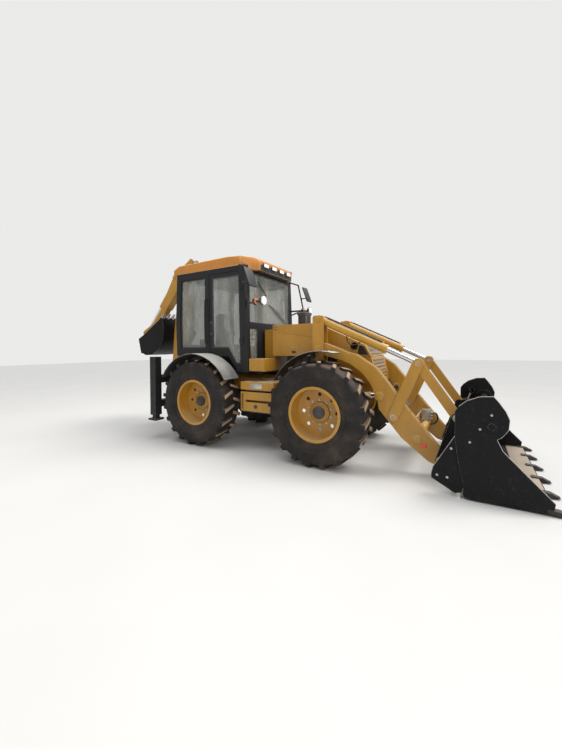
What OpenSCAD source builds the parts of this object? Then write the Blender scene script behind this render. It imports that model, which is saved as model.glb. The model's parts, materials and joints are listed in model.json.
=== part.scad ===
// Backhoe loader with four equal wheels, all in millimetres.
// X points forwards, Y to the machine's left and Z up; the wheels stand on Z = 0.
// Side outlines are drawn in the X-Z plane, with X = 0 at the front axle.

/* [Wheels] */
// Distance between the axles
wheelbase = 2200; // [2150:1:2400]
// Distance between the middle planes of the left and right tyres
track = 1880; // [1860:1:1920]
// Outer diameter of a tyre over its lugs
tyre_d = 1440; // [1400:1:1450]
// Width of a tyre
tyre_w = 430; // [400:1:440]
// Height of a tread lug
lug_h = 34; // [20:1:45]
// Lugs on each half of a tread
lug_count = 20; // [16:1:24]
// Diameter of the rim where the tyre seats
rim_d = 711; // [690:1:730]
// Distance of a kingpin from the machine's middle
kingpin_y = 770; // [750:1:790]
// Largest steering angle of each axle
steer_max = 17; // [10:1:18]

/* [Frame] */
// Distance from the rear axle back to the hoe's slewing axis
post_back = 1400; // [1380:1:1500]
// Half of the frame's outer width
frame_half = 350; // [330:1:360]
// Thickness of a frame rail
rail_t = 90; // [60:1:110]
// Height of a frame rail
rail_h = 210; // [160:1:240]
// Underside of the frame rails
rail_z = 890; // [880:1:920]
// Thickness of the loader tower's plates
tower_t = 18; // [12:1:19]

/* [Loader] */
// Distance of each loader arm from the machine's middle
arm_y = 600; // [590:1:610]
// Width of a loader arm
arm_w = 110; // [90:1:116]
// Height of the arms' pivot on the towers
arm_pivot_z = 1600; // [1590:1:1610]
// Height of the tilt rams' pivot on the towers
tilt_pivot_z = 2040; // [2030:1:2060]
// Lifting angle of the loader
lift_max = 75; // [40:1:78]
// Angle by which the bucket rolls back
crowd_max = 42; // [20:1:45]
// Angle by which the bucket dumps
dump_max = 46; // [20:1:50]
// Opening angle of the bucket's jaw
clam_max = 55; // [20:1:60]
// Width of the loader bucket over its side cutters
bucket_w = 2350; // [2320:1:2400]
// Teeth on the loader bucket
tooth_count = 6; // [4:1:9]
// Radius of a tilt ram's barrel
tilt_ram_r = 58; // [45:1:62]
// Radius of a lift ram's barrel
lift_ram_r = 44; // [40:1:45]

/* [Cab] */
// Half of the cab's width
cab_half = 790; // [770:1:810]
// Height of the cab frame's top
cab_top = 2990; // [2950:1:3020]
// Underside of the cab floor
cab_floor = 1180; // [1160:1:1200]
// Thickness of the cab's walls and posts
cab_t = 60; // [45:1:70]
// Thickness of a pane of glass
glass_t = 8; // [5:1:12]
// Opening angle of a door
door_max = 85; // [30:1:90]

/* [Hood] */
// Height of the hood's top
hood_top = 2005; // [1990:1:2020]
// Half of the hood's width
hood_half = 412; // [400:1:415]
// Thickness of the hood and cowl sheets
sheet_t = 12; // [8:1:16]
// Opening angle of the hood
hood_max = 45; // [20:1:50]

/* [Hoe] */
// Sideways travel of the hoe from the middle
shift_max = 550; // [300:1:560]
// Slewing angle of the hoe to each side
swing_max = 90; // [60:1:92]
// Length of the boom between its pins
boom_len = 2650; // [2600:1:2700]
// Length of the dipper between its pins
dipper_len = 1700; // [1680:1:1720]
// Lowering angle of the boom
boom_max = 70; // [50:1:75]
// Opening angle of the dipper
dipper_max = 90; // [60:1:95]
// Opening angle of the hoe bucket
dig_max = 178; // [90:1:180]
// Width of the hoe bucket
hoe_bucket_w = 600; // [450:1:620]
// Teeth on the hoe bucket
hoe_tooth_count = 5; // [3:1:6]
// Downward travel of a stabiliser leg
leg_travel = 480; // [300:1:500]

/* [Hidden] */
$fn = 48;
gap = 0.3;            // between seated pieces
run = 0.08;           // between a pin or rod and its bore
clear = 6;            // between pieces that move past each other
eye_wall = 22;        // of an open rod eye

tyre_r = tyre_d / 2;
rim_r = rim_d / 2;
axle_z = tyre_r;
wheel_y = track / 2;
rear_x = -wheelbase;
post_x = rear_x - post_back;
rim_w = tyre_w - 60;

function polar(p, a, r) = [p[0] + r * cos(a), p[1] + r * sin(a)];
function angle(p, q) = atan2(q[1] - p[1], q[0] - p[0]);
function dist(p, q) = norm(q - p);
function turn(p, c, a) = polar(c, angle(c, p) + a, dist(c, p));
// Corner of a triangle on p and q, on the left of the way from p to q when side is 1
function corner(p, q, rp, rq, side) =
    polar(p, angle(p, q) + side * acos((rp * rp + dist(p, q) ^ 2 - rq * rq) / (2 * rp * dist(p, q))), rp);
function arc(c, r, a0, a1, n) = [for (i = [0:n]) polar(c, a0 + (a1 - a0) * i / n, r)];
function x_span(a, b) = [min(a, b), max(a, b)];

// Loader pins at rest, as [x, z]
tower_x = -115;
A = [tower_x, arm_pivot_z];
T = [tower_x, tilt_pivot_z];
L = [-350, 850];
arm_boss = [757, 961];
B = [940, 700];
E = [1500, 220];
D = [1680, 760];
lever_len = 768;
link_len = 778;
C = corner(B, D, lever_len, link_len, 1);
jaw_pin = [2010, 800];
jaw_ear = [1850, 900];
clam_base = [1650, 330];
pin_r = 30;
pivot_r = 40;
fork_gap = 4;

// Hoe pins at rest, as [x, z]
F = [post_x - 240, 600];
U = [post_x - 20, 1130];
boom_angle = 83;
G = polar(F, boom_angle, boom_len);
V = polar(F, boom_angle + 1, 1650);
dipper_angle = -131;
H = polar(G, dipper_angle, dipper_len);
K = polar(G, dipper_angle + 171, 330);
W = [G[0] + 150, 1950];
bucket_angle = 30;
ear_angle = bucket_angle + 223;
tip_r = 820;
N = polar(H, ear_angle, 280);
M = polar(G, dipper_angle, dipper_len - 300);
rocker_len = 380;
dig_link_len = 330;
R = corner(M, N, rocker_len, dig_link_len, -1);
X0 = polar(polar(G, dipper_angle, 200), dipper_angle - 90, 150);
dipper_half = 65;
rocker_t = 18;

// Rams as [base pin, rod pin at rest, barrel length, barrel radius, rod radius, rod's inner end]
TILT_RAM = [T, C, 1065, tilt_ram_r, 34, 430];
LIFT_RAM = [L, arm_boss, 960, lift_ram_r, 34, 90];
CLAM_RAM = [clam_base, jaw_ear, 340, 42, 25, 225];
BOOM_RAM = [U, V, 1010, 62, 36, 90];
DIPPER_RAM = [W, K, 830, 58, 34, 620];
DIG_RAM = [X0, R, 800, 50, 30, 660];
tooth_tip_x = 2640;
// From the front axle back to the middle of the whole outline
back = -(tooth_tip_x + R[0] - pin_r - eye_wall) / 2;

module box(x, y, z) {
    translate([x[0], y[0], z[0]]) cube([x[1] - x[0], y[1] - y[0], z[1] - z[0]]);
}
// Cylinder along Y at the side-view point p
module ycyl(p, r, y) {
    translate([p[0], y[1], p[1]]) rotate([90, 0, 0]) cylinder(h = y[1] - y[0], r = r);
}
module xcyl(x, y, z, r) {
    translate([x[0], y, z]) rotate([0, 90, 0]) cylinder(h = x[1] - x[0], r = r);
}
// Plate with the side outline pts, from y[0] to y[1]
module slab(pts, y) {
    translate([0, y[1], 0]) rotate([90, 0, 0]) linear_extrude(y[1] - y[0]) polygon(pts);
}
module both_sides() {
    children();
    mirror([0, 1, 0]) children();
}
// Moves its children from the origin, pointing along +X, to p, pointing at angle a in side view
module aim(p, a) {
    translate([p[0], 0, p[1]]) rotate([0, -a, 0]) children();
}
// Flat bar from p to q with an end of radius r at each
module bar(p, q, r, y) {
    a = angle(p, q);
    slab(concat(arc(p, r, a + 90, a + 270, 10), arc(q, r, a - 90, a + 90, 10)), y);
}
// Barrel of a ram with its base eye, in the plane Y = 0
module ram_barrel(ram, w) {
    difference() {
        union() {
            aim(ram[0], angle(ram[0], ram[1])) xcyl([ram[3] * 0.5, ram[2]], 0, 0, ram[3]);
            ycyl(ram[0], ram[3] * 1.05, [-w / 2, w / 2]);
        }
        aim(ram[0], angle(ram[0], ram[1])) xcyl([ram[3] * 1.3, ram[2] + 1], 0, 0, ram[4] + run);
        ycyl(ram[0], pin_r + run, [-w, w]);
    }
}
// Rod of a ram with its open eye, in the plane Y = 0
module ram_rod(ram, w) {
    far = dist(ram[0], ram[1]);
    difference() {
        union() {
            aim(ram[0], angle(ram[0], ram[1])) xcyl([ram[5], far - pin_r - 5], 0, 0, ram[4]);
            ycyl(ram[1], pin_r + eye_wall, [-w / 2, w / 2]);
        }
        ycyl(ram[1], pin_r + 1, [-w, w]);
    }
}
// Round bar between the points p and q, with a ball at its end
module rod3(p, q, r) {
    d = q - p;
    translate(p) rotate([0, acos(d[2] / norm(d)), atan2(d[1], d[0])]) cylinder(h = norm(d), r = r);
    translate(q) sphere(r + 3);
}
module at_y(y) {
    translate([0, y, 0]) children();
}

// Frame
rear_frame_x = [post_x + 350, post_x + 490];
nose_x = 600;
engine_z = 985;
saddle_x = [170, 200];
trunnion_r = 70;
arm_in = arm_y - arm_w / 2;
arm_out = arm_y + arm_w / 2;
tower_in = arm_in - clear;
tower_out = arm_out + clear;
lift_y = 468;
tower_z = 1440;
tower_half = 85;
bracket_y = [frame_half + gap, lift_y + 51];
foot_x = [-490, -440];
// Side outline of a tower plate from the points of its foot up to its square top
module tower_plate(foot, y) {
    slab(concat([[tower_x + tower_half, tilt_pivot_z + 35], [tower_x + tower_half - 15, tilt_pivot_z + 50],
        [tower_x - tower_half + 15, tilt_pivot_z + 50], [tower_x - tower_half, tilt_pivot_z + 35]], foot), y);
}
// Left tower, bolted on the frame, with the brackets of its lift ram
module tower() {
    tower_plate([[tower_x - tower_half, arm_pivot_z - 150], [foot_x[0], rail_z + rail_h + 100], [foot_x[0], rail_z],
        [tower_x + tower_half, rail_z]], [tower_in - tower_t, tower_in]);
    tower_plate([[tower_x - tower_half, tower_z], [tower_x + tower_half, tower_z]], [tower_out, tower_out + tower_t]);
    box([tower_x - tower_half, tower_x - tower_half + 8], [tower_in - 1, tower_out + 1], [tower_z, arm_pivot_z + 300]);
    box(foot_x, [frame_half + gap, tower_in - 1], [rail_z, rail_z + rail_h]);
    ycyl(A, pivot_r, [tower_in - 1, tower_out + tower_t + 12]);
    ycyl(T, pin_r, [tower_in - 1, tower_out + tower_t + 12]);
    for (y = bracket_y) {
        box([foot_x[0], L[0] + 50], [y, y + tower_t], [L[1] - 60, rail_z + 20]);
    }
    box([foot_x[0], foot_x[0] + tower_t], [bracket_y[0], bracket_y[1] + tower_t], [L[1] - 60, rail_z + 1]);
    ycyl(L, pin_r, [bracket_y[0], bracket_y[1] + tower_t + 8]);
}
module frame() difference() {
    union() {
        both_sides() box([rear_frame_x[1] + gap, nose_x], [frame_half - rail_t, frame_half], [rail_z, rail_z + rail_h]);
        for (x = [[nose_x - 90, nose_x], [tower_x - 60, tower_x + 60], [-860, -780], [-1900, -1820], [-3000, -2920]]) {
            box(x, [-frame_half + 1, frame_half - 1], [rail_z + 5, engine_z - gap]);
        }
        for (s = [-1, 1]) {
            x = s > 0 ? saddle_x : [-saddle_x[1], -saddle_x[0]];
            box(x, [-frame_half + 1, frame_half - 1], [rail_z - 60, rail_z + 60]);
            box(x, [-130, 130], [axle_z - 110, rail_z]);
        }
    }
    xcyl([-saddle_x[1] - 5, saddle_x[1] + 5], 0, axle_z, trunnion_r + gap);
    for (s = [-1, 1]) {
        translate([nose_x - 40, s * 180, rail_z]) cylinder(h = 300, r = 25, center = true);
    }
}
module chassis() color("goldenrod") {
    frame();
    both_sides() tower();
}
module engine() color("dimgray") {
    box([-880, 60], [-240, 240], [engine_z, 1660]);
}

// Axles and wheels
yoke_z = 160;
king_r = 32;
knuckle_r = 62;
spindle_r = 60;
module axle(x) {
    translate([x, 0, axle_z]) {
        rotate([90, 0, 0]) cylinder(h = 240, r = 160, center = true);
        both_sides() difference() {
            union() {
                translate([0, 119, 0]) rotate([-90, 0, 0]) cylinder(h = 170, r1 = 155, r2 = 85);
                translate([0, 280, 0]) rotate([-90, 0, 0]) cylinder(h = kingpin_y - 370, r = 84);
                box([-70, 70], [kingpin_y - 105, kingpin_y - 65], [-yoke_z - 40, yoke_z + 40]);
                for (s = [-1, 1]) {
                    z = s > 0 ? [yoke_z, yoke_z + 40] : [-yoke_z - 40, -yoke_z];
                    box([-60, 60], [kingpin_y - 66, kingpin_y], z);
                    translate([0, kingpin_y, z[0]]) cylinder(h = 40, r = 60);
                }
            }
            translate([0, kingpin_y, -yoke_z - 50]) cylinder(h = 2 * yoke_z + 100, r = king_r + run);
        }
    }
}
module axles() color("dimgray") {
    axle(0);
    translate([0, 0, axle_z]) rotate([0, 90, 0])
        cylinder(h = 2 * saddle_x[1] + 60, r = trunnion_r, center = true);
    axle(rear_x);
    both_sides() box([rear_x - 80, rear_x + 80], [frame_half - rail_t + 5, frame_half - 5],
        [axle_z + 60, rail_z - gap]);
}
// Wheel disc and end of the spindle's bore, from the tyre's middle plane
disc_y = -40;
spindle_end = disc_y - 10;
// Knuckle of a left wheel, turning about its kingpin at the origin's x
module knuckle(x) color("dimgray") translate([x, 0, axle_z]) {
    translate([0, kingpin_y, 0]) {
        cylinder(h = 2 * yoke_z - 4, r = knuckle_r, center = true);
        cylinder(h = 2 * yoke_z + 84, r = king_r, center = true);
        box([-150, -40], [-22, 22], [-60, -20]);
    }
    translate([0, kingpin_y + 30, 0]) rotate([-90, 0, 0]) cylinder(h = 40, r = 120);
    translate([0, kingpin_y + 60, 0]) rotate([-90, 0, 0]) cylinder(h = wheel_y - kingpin_y + spindle_end - 64, r = spindle_r);
}
hub_back = wheel_y - kingpin_y - 74;
module rim(x) color("goldenrod") translate([x, wheel_y, axle_z]) rotate([-90, 0, 0]) difference() {
    union() {
        rotate_extrude() polygon([
            [rim_r - 14, -rim_w / 2 + 2], [rim_r + 24, -rim_w / 2 + 2], [rim_r + 24, -rim_w / 2 + 14],
            [rim_r, -rim_w / 2 + 14], [rim_r, rim_w / 2 - 14], [rim_r + 24, rim_w / 2 - 14],
            [rim_r + 24, rim_w / 2 - 2], [rim_r - 14, rim_w / 2 - 2], [rim_r - 14, disc_y + 16],
            [200, disc_y - 10], [150, disc_y - 10], [145, disc_y + 14], [90, disc_y + 34], [0, disc_y + 34],
            [0, -hub_back], [120, -hub_back], [135, disc_y - 28], [200, disc_y - 28],
            [rim_r - 14, disc_y - 2]]);
    }
    translate([0, 0, -hub_back - 1]) cylinder(h = hub_back + 1 + spindle_end, r = spindle_r + run);
    for (a = [0:45:359]) {
        rotate([0, 0, a]) translate([250, 0, disc_y - 40]) cylinder(h = 80, r = 26);
    }
}
tread_r = tyre_r - lug_h;
lug_s = 62;
module tyre(x) color("#2a2724") translate([x, wheel_y, axle_z]) rotate([-90, 0, 0]) {
    half = tyre_w / 2;
    bead = rim_w / 2 - 15;
    rotate_extrude() polygon([
        [rim_r + gap, -bead], [rim_r + 30, -bead], [tyre_r * 0.79, -half], [tread_r - 22, -half + 12],
        [tread_r, -half + 70], [tread_r, half - 70], [tread_r - 22, half - 12], [tyre_r * 0.79, half],
        [rim_r + 30, bead], [rim_r + gap, bead]]);
    for (i = [0:lug_count - 1], s = [-1, 1]) {
        rotate([0, 0, (i + s / 4) * 360 / lug_count]) mirror([0, 0, s > 0 ? 0 : 1])
            translate([sqrt(tyre_r * tyre_r - lug_s * lug_s) - lug_h - 30, 0, 0])
            rotate([0, 90, 0]) linear_extrude(lug_h + 30)
            polygon([[10, -lug_s], [10, -lug_s + 50], [-half + 8, lug_s], [-half + 8, lug_s - 50]]);
    }
}
module knuckle_fl() knuckle(0);
module knuckle_fr() mirror([0, 1, 0]) knuckle(0);
module knuckle_rl() knuckle(rear_x);
module knuckle_rr() mirror([0, 1, 0]) knuckle(rear_x);
module rim_fl() rim(0);
module rim_fr() mirror([0, 1, 0]) rim(0);
module rim_rl() rim(rear_x);
module rim_rr() mirror([0, 1, 0]) rim(rear_x);
module tyre_fl() tyre(0);
module tyre_fr() mirror([0, 1, 0]) tyre(0);
module tyre_rl() tyre(rear_x);
module tyre_rr() mirror([0, 1, 0]) tyre(rear_x);

// Bodywork
guard_t = 12;
front_guard = [26, axle_z + 35];
front_guard_r = tyre_r + 91;
guard_r = tyre_r + 90;
// Curved guard about the point p, between the angles a0 and a1
module guard(p, r, a0, a1, y) {
    slab(concat(arc(p, r, a0, a1, 12), arc(p, r + guard_t, a1, a0, 12)), y);
}
guard_top = front_guard[1] + front_guard_r - 24;
module mudguards() color("#222222") both_sides() {
    guard(front_guard, front_guard_r, 75, 152, [tower_out + tower_t + 20, wheel_y + 60]);
    box([tower_x - 85, tower_x - 45], [tower_out + tower_t + gap, tower_out + tower_t + 110],
        [guard_top - 60, guard_top + 8]);
    guard([rear_x, axle_z], guard_r, 30, 150, [cab_half + gap, wheel_y + tyre_w / 2 + 10]);
}
cowl_z = 1490;
hood_back = -1060;
// Front of the nose from the bottom up
nose_front = [[660, rail_z + rail_h + gap], [650, 1250], [612, 1390]];
hood_front = [[588, cowl_z], [506, 1655], [-250, hood_top]];
vent_outline = [[395, 1520], [545, 1520], [490, 1625], [425, 1650]];
module bodywork() color("goldenrod") {
    // Nose with its grille
    difference() {
        slab(concat([[80, rail_z + rail_h + gap]], nose_front, [[590, cowl_z - clear], [80, cowl_z - clear]]),
            [-hood_half, hood_half]);
        slab(concat([[60, rail_z], [660 - sheet_t, rail_z], [650 - sheet_t, 1250], [612 - sheet_t, 1390],
            [588 - sheet_t, cowl_z]], [[60, cowl_z]]), [-hood_half + sheet_t, hood_half - sheet_t]);
        for (i = [0:5]) {
            box([560, 700], [-330, 330], [1150 + i * 52, 1180 + i * 52]);
        }
    }
    // Cowl between the hood and the cab
    difference() {
        box([cab_x[1] + 10, hood_back - 20], [-300, 300], [sill_z, 1940]);
        box([cab_x[1] + 9, hood_back - 20 - sheet_t], [-300 + sheet_t, 300 - sheet_t], [sill_z - 1, 1940 - sheet_t]);
    }
    both_sides() {
        // Tank and tool box with their steps
        difference() {
            box([-1390, -810], [frame_half + gap, 880], [620, 1085]);
            box([-1391, -809], [700, 881], [925, 960]);
            box([-1300, -809], [760, 881], [760, 800]);
        }
        box([-1300, -768], [500, 880], [960, 1085]);
        // Panel below the cab's front corner
        difference() {
            box([cab_x[1] + 10, -1000], [430, 780], [sill_z, 1450]);
            box([cab_x[1] + 9, -1000 - sheet_t], [430 + sheet_t, 780 - sheet_t], [sill_z - 1, 1450 - sheet_t]);
        }
    }
}
module hood() color("goldenrod") difference() {
    slab(concat([[hood_back, cowl_z]], hood_front, [[hood_back, hood_top]]), [-hood_half, hood_half]);
    slab([[hood_back - 1, cowl_z - 1], [588 - sheet_t, cowl_z - 1], [506 - sheet_t, 1655 - sheet_t],
          [-250 - 4, hood_top - sheet_t], [hood_back + sheet_t, hood_top - sheet_t],
          [hood_back + sheet_t, cowl_z + 200], [hood_back - 1, cowl_z + 200]],
        [-hood_half + sheet_t, hood_half - sheet_t]);
    slab(vent_outline, [-hood_half - 1, hood_half + 1]);
    ycyl([345, 1640], 48, [-hood_half - 1, hood_half + 1]);
    for (i = [0:1]) {
        box([480, 620], [-330, 330], [1505 + i * 52, 1535 + i * 52]);
    }
}

// Cab
cab_x = [-2950, -1300];
door_x = [-2130, -1380];
tub_half = 530;
arch_x = [-1700, -1520];
arch_z = 1490;
sill_z = 1250;
function cab_front(z) = cab_x[1] - 60 * (z - sill_z + 20) / (cab_top - sill_z + 20);
side_outline = [[cab_x[1], sill_z - 20], [cab_x[1] - 60, cab_top], [cab_x[0] + 40, cab_top],
    [cab_x[0], 2100], [cab_x[0] + 20, arch_z], [arch_x[0], arch_z], [arch_x[1], sill_z - 20]];
door_outline = [[door_x[1], sill_z + 20], [door_x[1] - 30, cab_top - 80], [door_x[0], cab_top - 80],
    [door_x[0], arch_z + 60], [arch_x[0] - 20, arch_z + 60], [arch_x[1] - 30, sill_z + 20]];
pane_outline = [[door_x[1] - 70, sill_z + 120], [door_x[1] - 95, cab_top - 150],
    [door_x[0] + 70, cab_top - 150], [door_x[0] + 70, arch_z + 140], [arch_x[0], arch_z + 140],
    [arch_x[1] - 20, sill_z + 120]];
quarter_outline = [[door_x[0] - 90, cab_top - 120], [cab_x[0] + 140, cab_top - 120],
    [cab_x[0] + 110, 2100], [cab_x[0] + 120, arch_z + 140], [door_x[0] - 90, arch_z + 140]];
shield = [1900, cab_top - 90];
bow_y = 1000;
bow = [[-1350, cab_half - 20, 2945], [-1290, bow_y, 2925], [-1175, bow_y, 2400], [-1345, cab_half - 20, 2280]];
module cab_frame() color("#3a3a38") difference() {
    union() {
        slab(side_outline, [-cab_half, cab_half]);
        box([cab_x[0] + 20, -1400], [-tub_half, tub_half], [cab_floor, arch_z + 10]);
        both_sides() {
            // Bow with the rear-view mirror
            for (i = [0:2]) {
                rod3(bow[i], bow[i + 1], 14);
            }
            slab([[-1135, 2860], [-1155, 2850], [-1050, 2560], [-1030, 2570]], [bow_y - 100, bow_y + 100]);
            xcyl([-1228, -1062], bow_y, 2640, 10);
        }
    }
    slab([[cab_x[1] - cab_t, arch_z + 30], [cab_x[1] - cab_t - 55, cab_top - cab_t],
          [cab_x[0] + 40 + cab_t, cab_top - cab_t], [cab_x[0] + cab_t, 2100],
          [cab_x[0] + 20 + cab_t, arch_z + 30]], [-cab_half + cab_t, cab_half - cab_t]);
    box([cab_x[0] + 80, cab_x[1] - cab_t], [-tub_half + cab_t, tub_half - cab_t],
        [cab_floor + cab_t, cab_top - cab_t]);
    box([arch_x[1] + 20, cab_x[1] - cab_t], [-cab_half + cab_t, cab_half - cab_t], [sill_z + 30, arch_z + 50]);
    slab(door_outline, [-cab_half - 1, cab_half + 1]);
    slab(quarter_outline, [-cab_half - 1, cab_half + 1]);
    box([cab_x[1] - 150, cab_x[1] + 10], [-cab_half + 90, cab_half - 90], [shield[0] + 140, shield[1]]);
    both_sides() box([cab_x[1] - 150, cab_x[1] + 10], [hood_half + 50, cab_half - 90], [1420, shield[0] + 60]);
    box([cab_x[0] - 10, cab_x[0] + 150], [-cab_half + 90, cab_half - 90], [1700, shield[1]]);
}
module cab_glass() color("#8fa3a8") {
    aim_x = cab_x[1] - 60;
    box([aim_x, aim_x + glass_t], [-cab_half + 90 + gap, cab_half - 90 - gap],
        [shield[0] + 140 + gap, shield[1] - gap]);
    both_sides() {
        box([cab_x[1] - 50, cab_x[1] - 50 + glass_t], [hood_half + 50 + gap, cab_half - 90 - gap],
            [1420 + gap, shield[0] + 60 - gap]);
        slab([[door_x[0] - 90 - gap, cab_top - 120 - gap], [cab_x[0] + 140 + gap, cab_top - 120 - gap],
              [cab_x[0] + 110 + gap, 2100], [cab_x[0] + 120 + gap, arch_z + 140 + gap],
              [door_x[0] - 90 - gap, arch_z + 140 + gap]],
            [cab_half - cab_t / 2 - glass_t, cab_half - cab_t / 2]);
    }
    box([cab_x[0] + 44, cab_x[0] + 44 + glass_t], [-cab_half + 90 + gap, cab_half - 90 - gap],
        [1700 + gap, shield[1] - gap]);
}
hinge_x = door_x[1] - 15;
module door() color("#3a3a38") {
    difference() {
        slab([for (p = door_outline) [p[0] + (p[0] > door_x[1] - 90 ? -clear : clear), p[1] + (p[1] > 2000 ? -clear : clear)]],
            [cab_half - 45, cab_half - 5]);
        slab(pane_outline, [cab_half - 50, cab_half + 1]);
    }
    box([door_x[0] + 30, door_x[0] + 60], [cab_half - 6, cab_half + 30], [1900, 2050]);
    for (z = [1700, 2600]) {
        box([hinge_x - 70, hinge_x - 45], [cab_half - 6, cab_half + 14], [z, z + 100]);
        box([hinge_x - 70, hinge_x], [cab_half + 2, cab_half + 14], [z, z + 100]);
        translate([hinge_x, cab_half + 10, z]) cylinder(h = 100, r = 9);
    }
}
module door_glass() color("#8fa3a8") {
    slab([for (p = pane_outline) [p[0] + (p[0] > door_x[1] - 100 ? -gap : gap), p[1] + (p[1] > 2000 ? -gap : gap)]],
        [cab_half - 28, cab_half - 28 + glass_t]);
}
module door_left() door();
module door_right() mirror([0, 1, 0]) door();
module door_left_glass() door_glass();
module door_right_glass() mirror([0, 1, 0]) door_glass();
roof_x = [cab_x[0] - 40, cab_x[1] + 85];
visor_z = 2925;
visor_half = 560;
module roof() color("darkorange") difference() {
    slab([[cab_front(visor_z) + clear, visor_z], [roof_x[1], visor_z], [roof_x[1] + 10, 3060], [roof_x[1] - 40, 3130],
          [-1700, 3165], [-2850, 3150], [roof_x[0], 3085], [roof_x[0], cab_top + gap],
          [cab_front(cab_top) + clear, cab_top + gap]], [-cab_half - 10, cab_half + 10]);
    // Slanting front corners
    both_sides() translate([0, 0, visor_z - 1]) linear_extrude(300)
        polygon([[roof_x[1] + 20, visor_half - 20], [roof_x[1] + 20, cab_half + 20], [roof_x[1] - 230, cab_half + 20]]);
}
lamp_y = 850;
lamp_z = 2360;
module lamps() color("whitesmoke") {
    for (y = [-390:260:390]) {
        box([roof_x[1] + 10 + gap, roof_x[1] + 35], [y - 75, y + 75], [2985, 3055]);
        box([roof_x[0] - 30, roof_x[0] - gap], [y - 75, y + 75], [2985, 3055]);
    }
    // Head lamp and direction lamp on their bracket
    both_sides() {
        box([cab_front(lamp_z - 15) + gap, -1060], [cab_half - 55, cab_half - 25], [lamp_z - 15, lamp_z + 15]);
        box([-1090, -1060], [cab_half - 55, lamp_y + 20], [lamp_z - 15, lamp_z + 15]);
        xcyl([-1061, -999], lamp_y, lamp_z, 20);
        xcyl([-1000, -930], lamp_y, lamp_z, 75);
        xcyl([-1150, -1089], lamp_y, lamp_z, 60);
    }
}
seat_x = -2190;
module seat() color("#26262a") {
    box([seat_x - 230, seat_x + 240], [-235, 235], [1580, 1700]);
    box([seat_x - 310, seat_x - 190], [-215, 215], [1690, 2300]);
    translate([seat_x, 0, 1540]) cylinder(h = 60, r = 60);
}
module controls() color("#2c2c2e") {
    translate([seat_x, 0, cab_floor + cab_t + gap]) cylinder(h = 1539 - cab_floor - cab_t, r = 110);
    box([-1600, -1480], [-120, 120], [sill_z + 30 + gap, 1800]);
    translate([-1640, 0, 1900]) rotate([0, -35, 0]) {
        rotate_extrude() polygon(arc([185, 0], 14, 0, 300, 5));
        for (a = [0:120:240]) {
            rotate([0, 90, a]) cylinder(h = 185, r = 12);
        }
        translate([0, 0, -140]) cylinder(h = 140, r = 35);
    }
    both_sides() {
        box([-2800, -2560], [180, 330], [cab_floor + cab_t + gap, 1800]);
        translate([-2690, 255, 1790]) cylinder(h = 220, r = 10);
    }
}

// Loader linkage
cross_at = [1232, 440];
arm_outline = concat(arc(A, 68, 80, 250, 8), arc([0, axle_z], tyre_r + 35, 80, 5, 8),
    [[1041, 435], [1364, 178]], arc(E, 85, 240, 405, 6), [[1523, 324], [1082, 863], [894, 1121], [725, 1333],
    [442, 1522], [340, 1545], [tower_x + 95, arm_pivot_z + 90]]);
module loader_arms() color("goldenrod") {
    both_sides() difference() {
        union() {
            slab(arm_outline, [arm_in, arm_out]);
            ycyl(arm_boss, 62, [lift_y + 48, arm_out + 10]);
            ycyl(arm_boss, pin_r, [lift_y + 38, arm_out]);
        }
        ycyl(A, pivot_r + run, [arm_in - 1, arm_out + 1]);
        ycyl(B, 35 + run, [arm_in - 1, arm_out + 1]);
        ycyl(E, 35 + run, [arm_in - 1, arm_out + 1]);
    }
    ycyl(cross_at, 58, [-arm_out - 8, arm_out + 8]);
}
fork_in = [arm_in - fork_gap - 20, arm_in - fork_gap];
fork_out = [arm_out + fork_gap, arm_out + fork_gap + 20];
link_in = [arm_in, arm_in + 20];
link_out = [arm_out - 20, arm_out];
module levers() color("goldenrod") both_sides() difference() {
    union() {
        for (y = [fork_in, fork_out]) {
            bar(B, C, 68, y);
        }
        aim(B, angle(B, C)) box([400, 560], [fork_in[1] - 1, fork_out[0] + 1], [-25, 5]);
    }
    ycyl(B, 35 + run, [fork_in[0] - 1, fork_out[1] + 1]);
    ycyl(C, 28 + run, [fork_in[0] - 1, fork_out[1] + 1]);
}
module lever_pins() color("silver") both_sides() ycyl(B, 35, [fork_in[0] - 10, fork_out[1] + 10]);
module bucket_pins() color("silver") both_sides() ycyl(E, 35, [fork_in[0] - 10, fork_out[1] + 10]);
module link_pins() color("silver") both_sides() {
    ycyl(C, 28, [fork_in[0] - 10, link_in[1]]);
    ycyl(C, 28, [link_out[0], fork_out[1] + 10]);
}
module links() color("goldenrod") both_sides() difference() {
    for (y = [link_in, link_out]) {
        bar(C, D, 56, y);
    }
    ycyl(C, 28 + run, [link_in[0] - 1, link_out[1] + 1]);
    ycyl(D, 28 + run, [link_in[0] - 1, link_out[1] + 1]);
}
module lift_barrels() color("goldenrod") both_sides() at_y(lift_y) ram_barrel(LIFT_RAM, 90);
module lift_rods() color("silver") both_sides() at_y(lift_y) ram_rod(LIFT_RAM, 70);
module tilt_barrels() color("goldenrod") both_sides() at_y(arm_y) ram_barrel(TILT_RAM, 90);
module tilt_rods() color("silver") both_sides() at_y(arm_y) ram_rod(TILT_RAM, 56);

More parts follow.
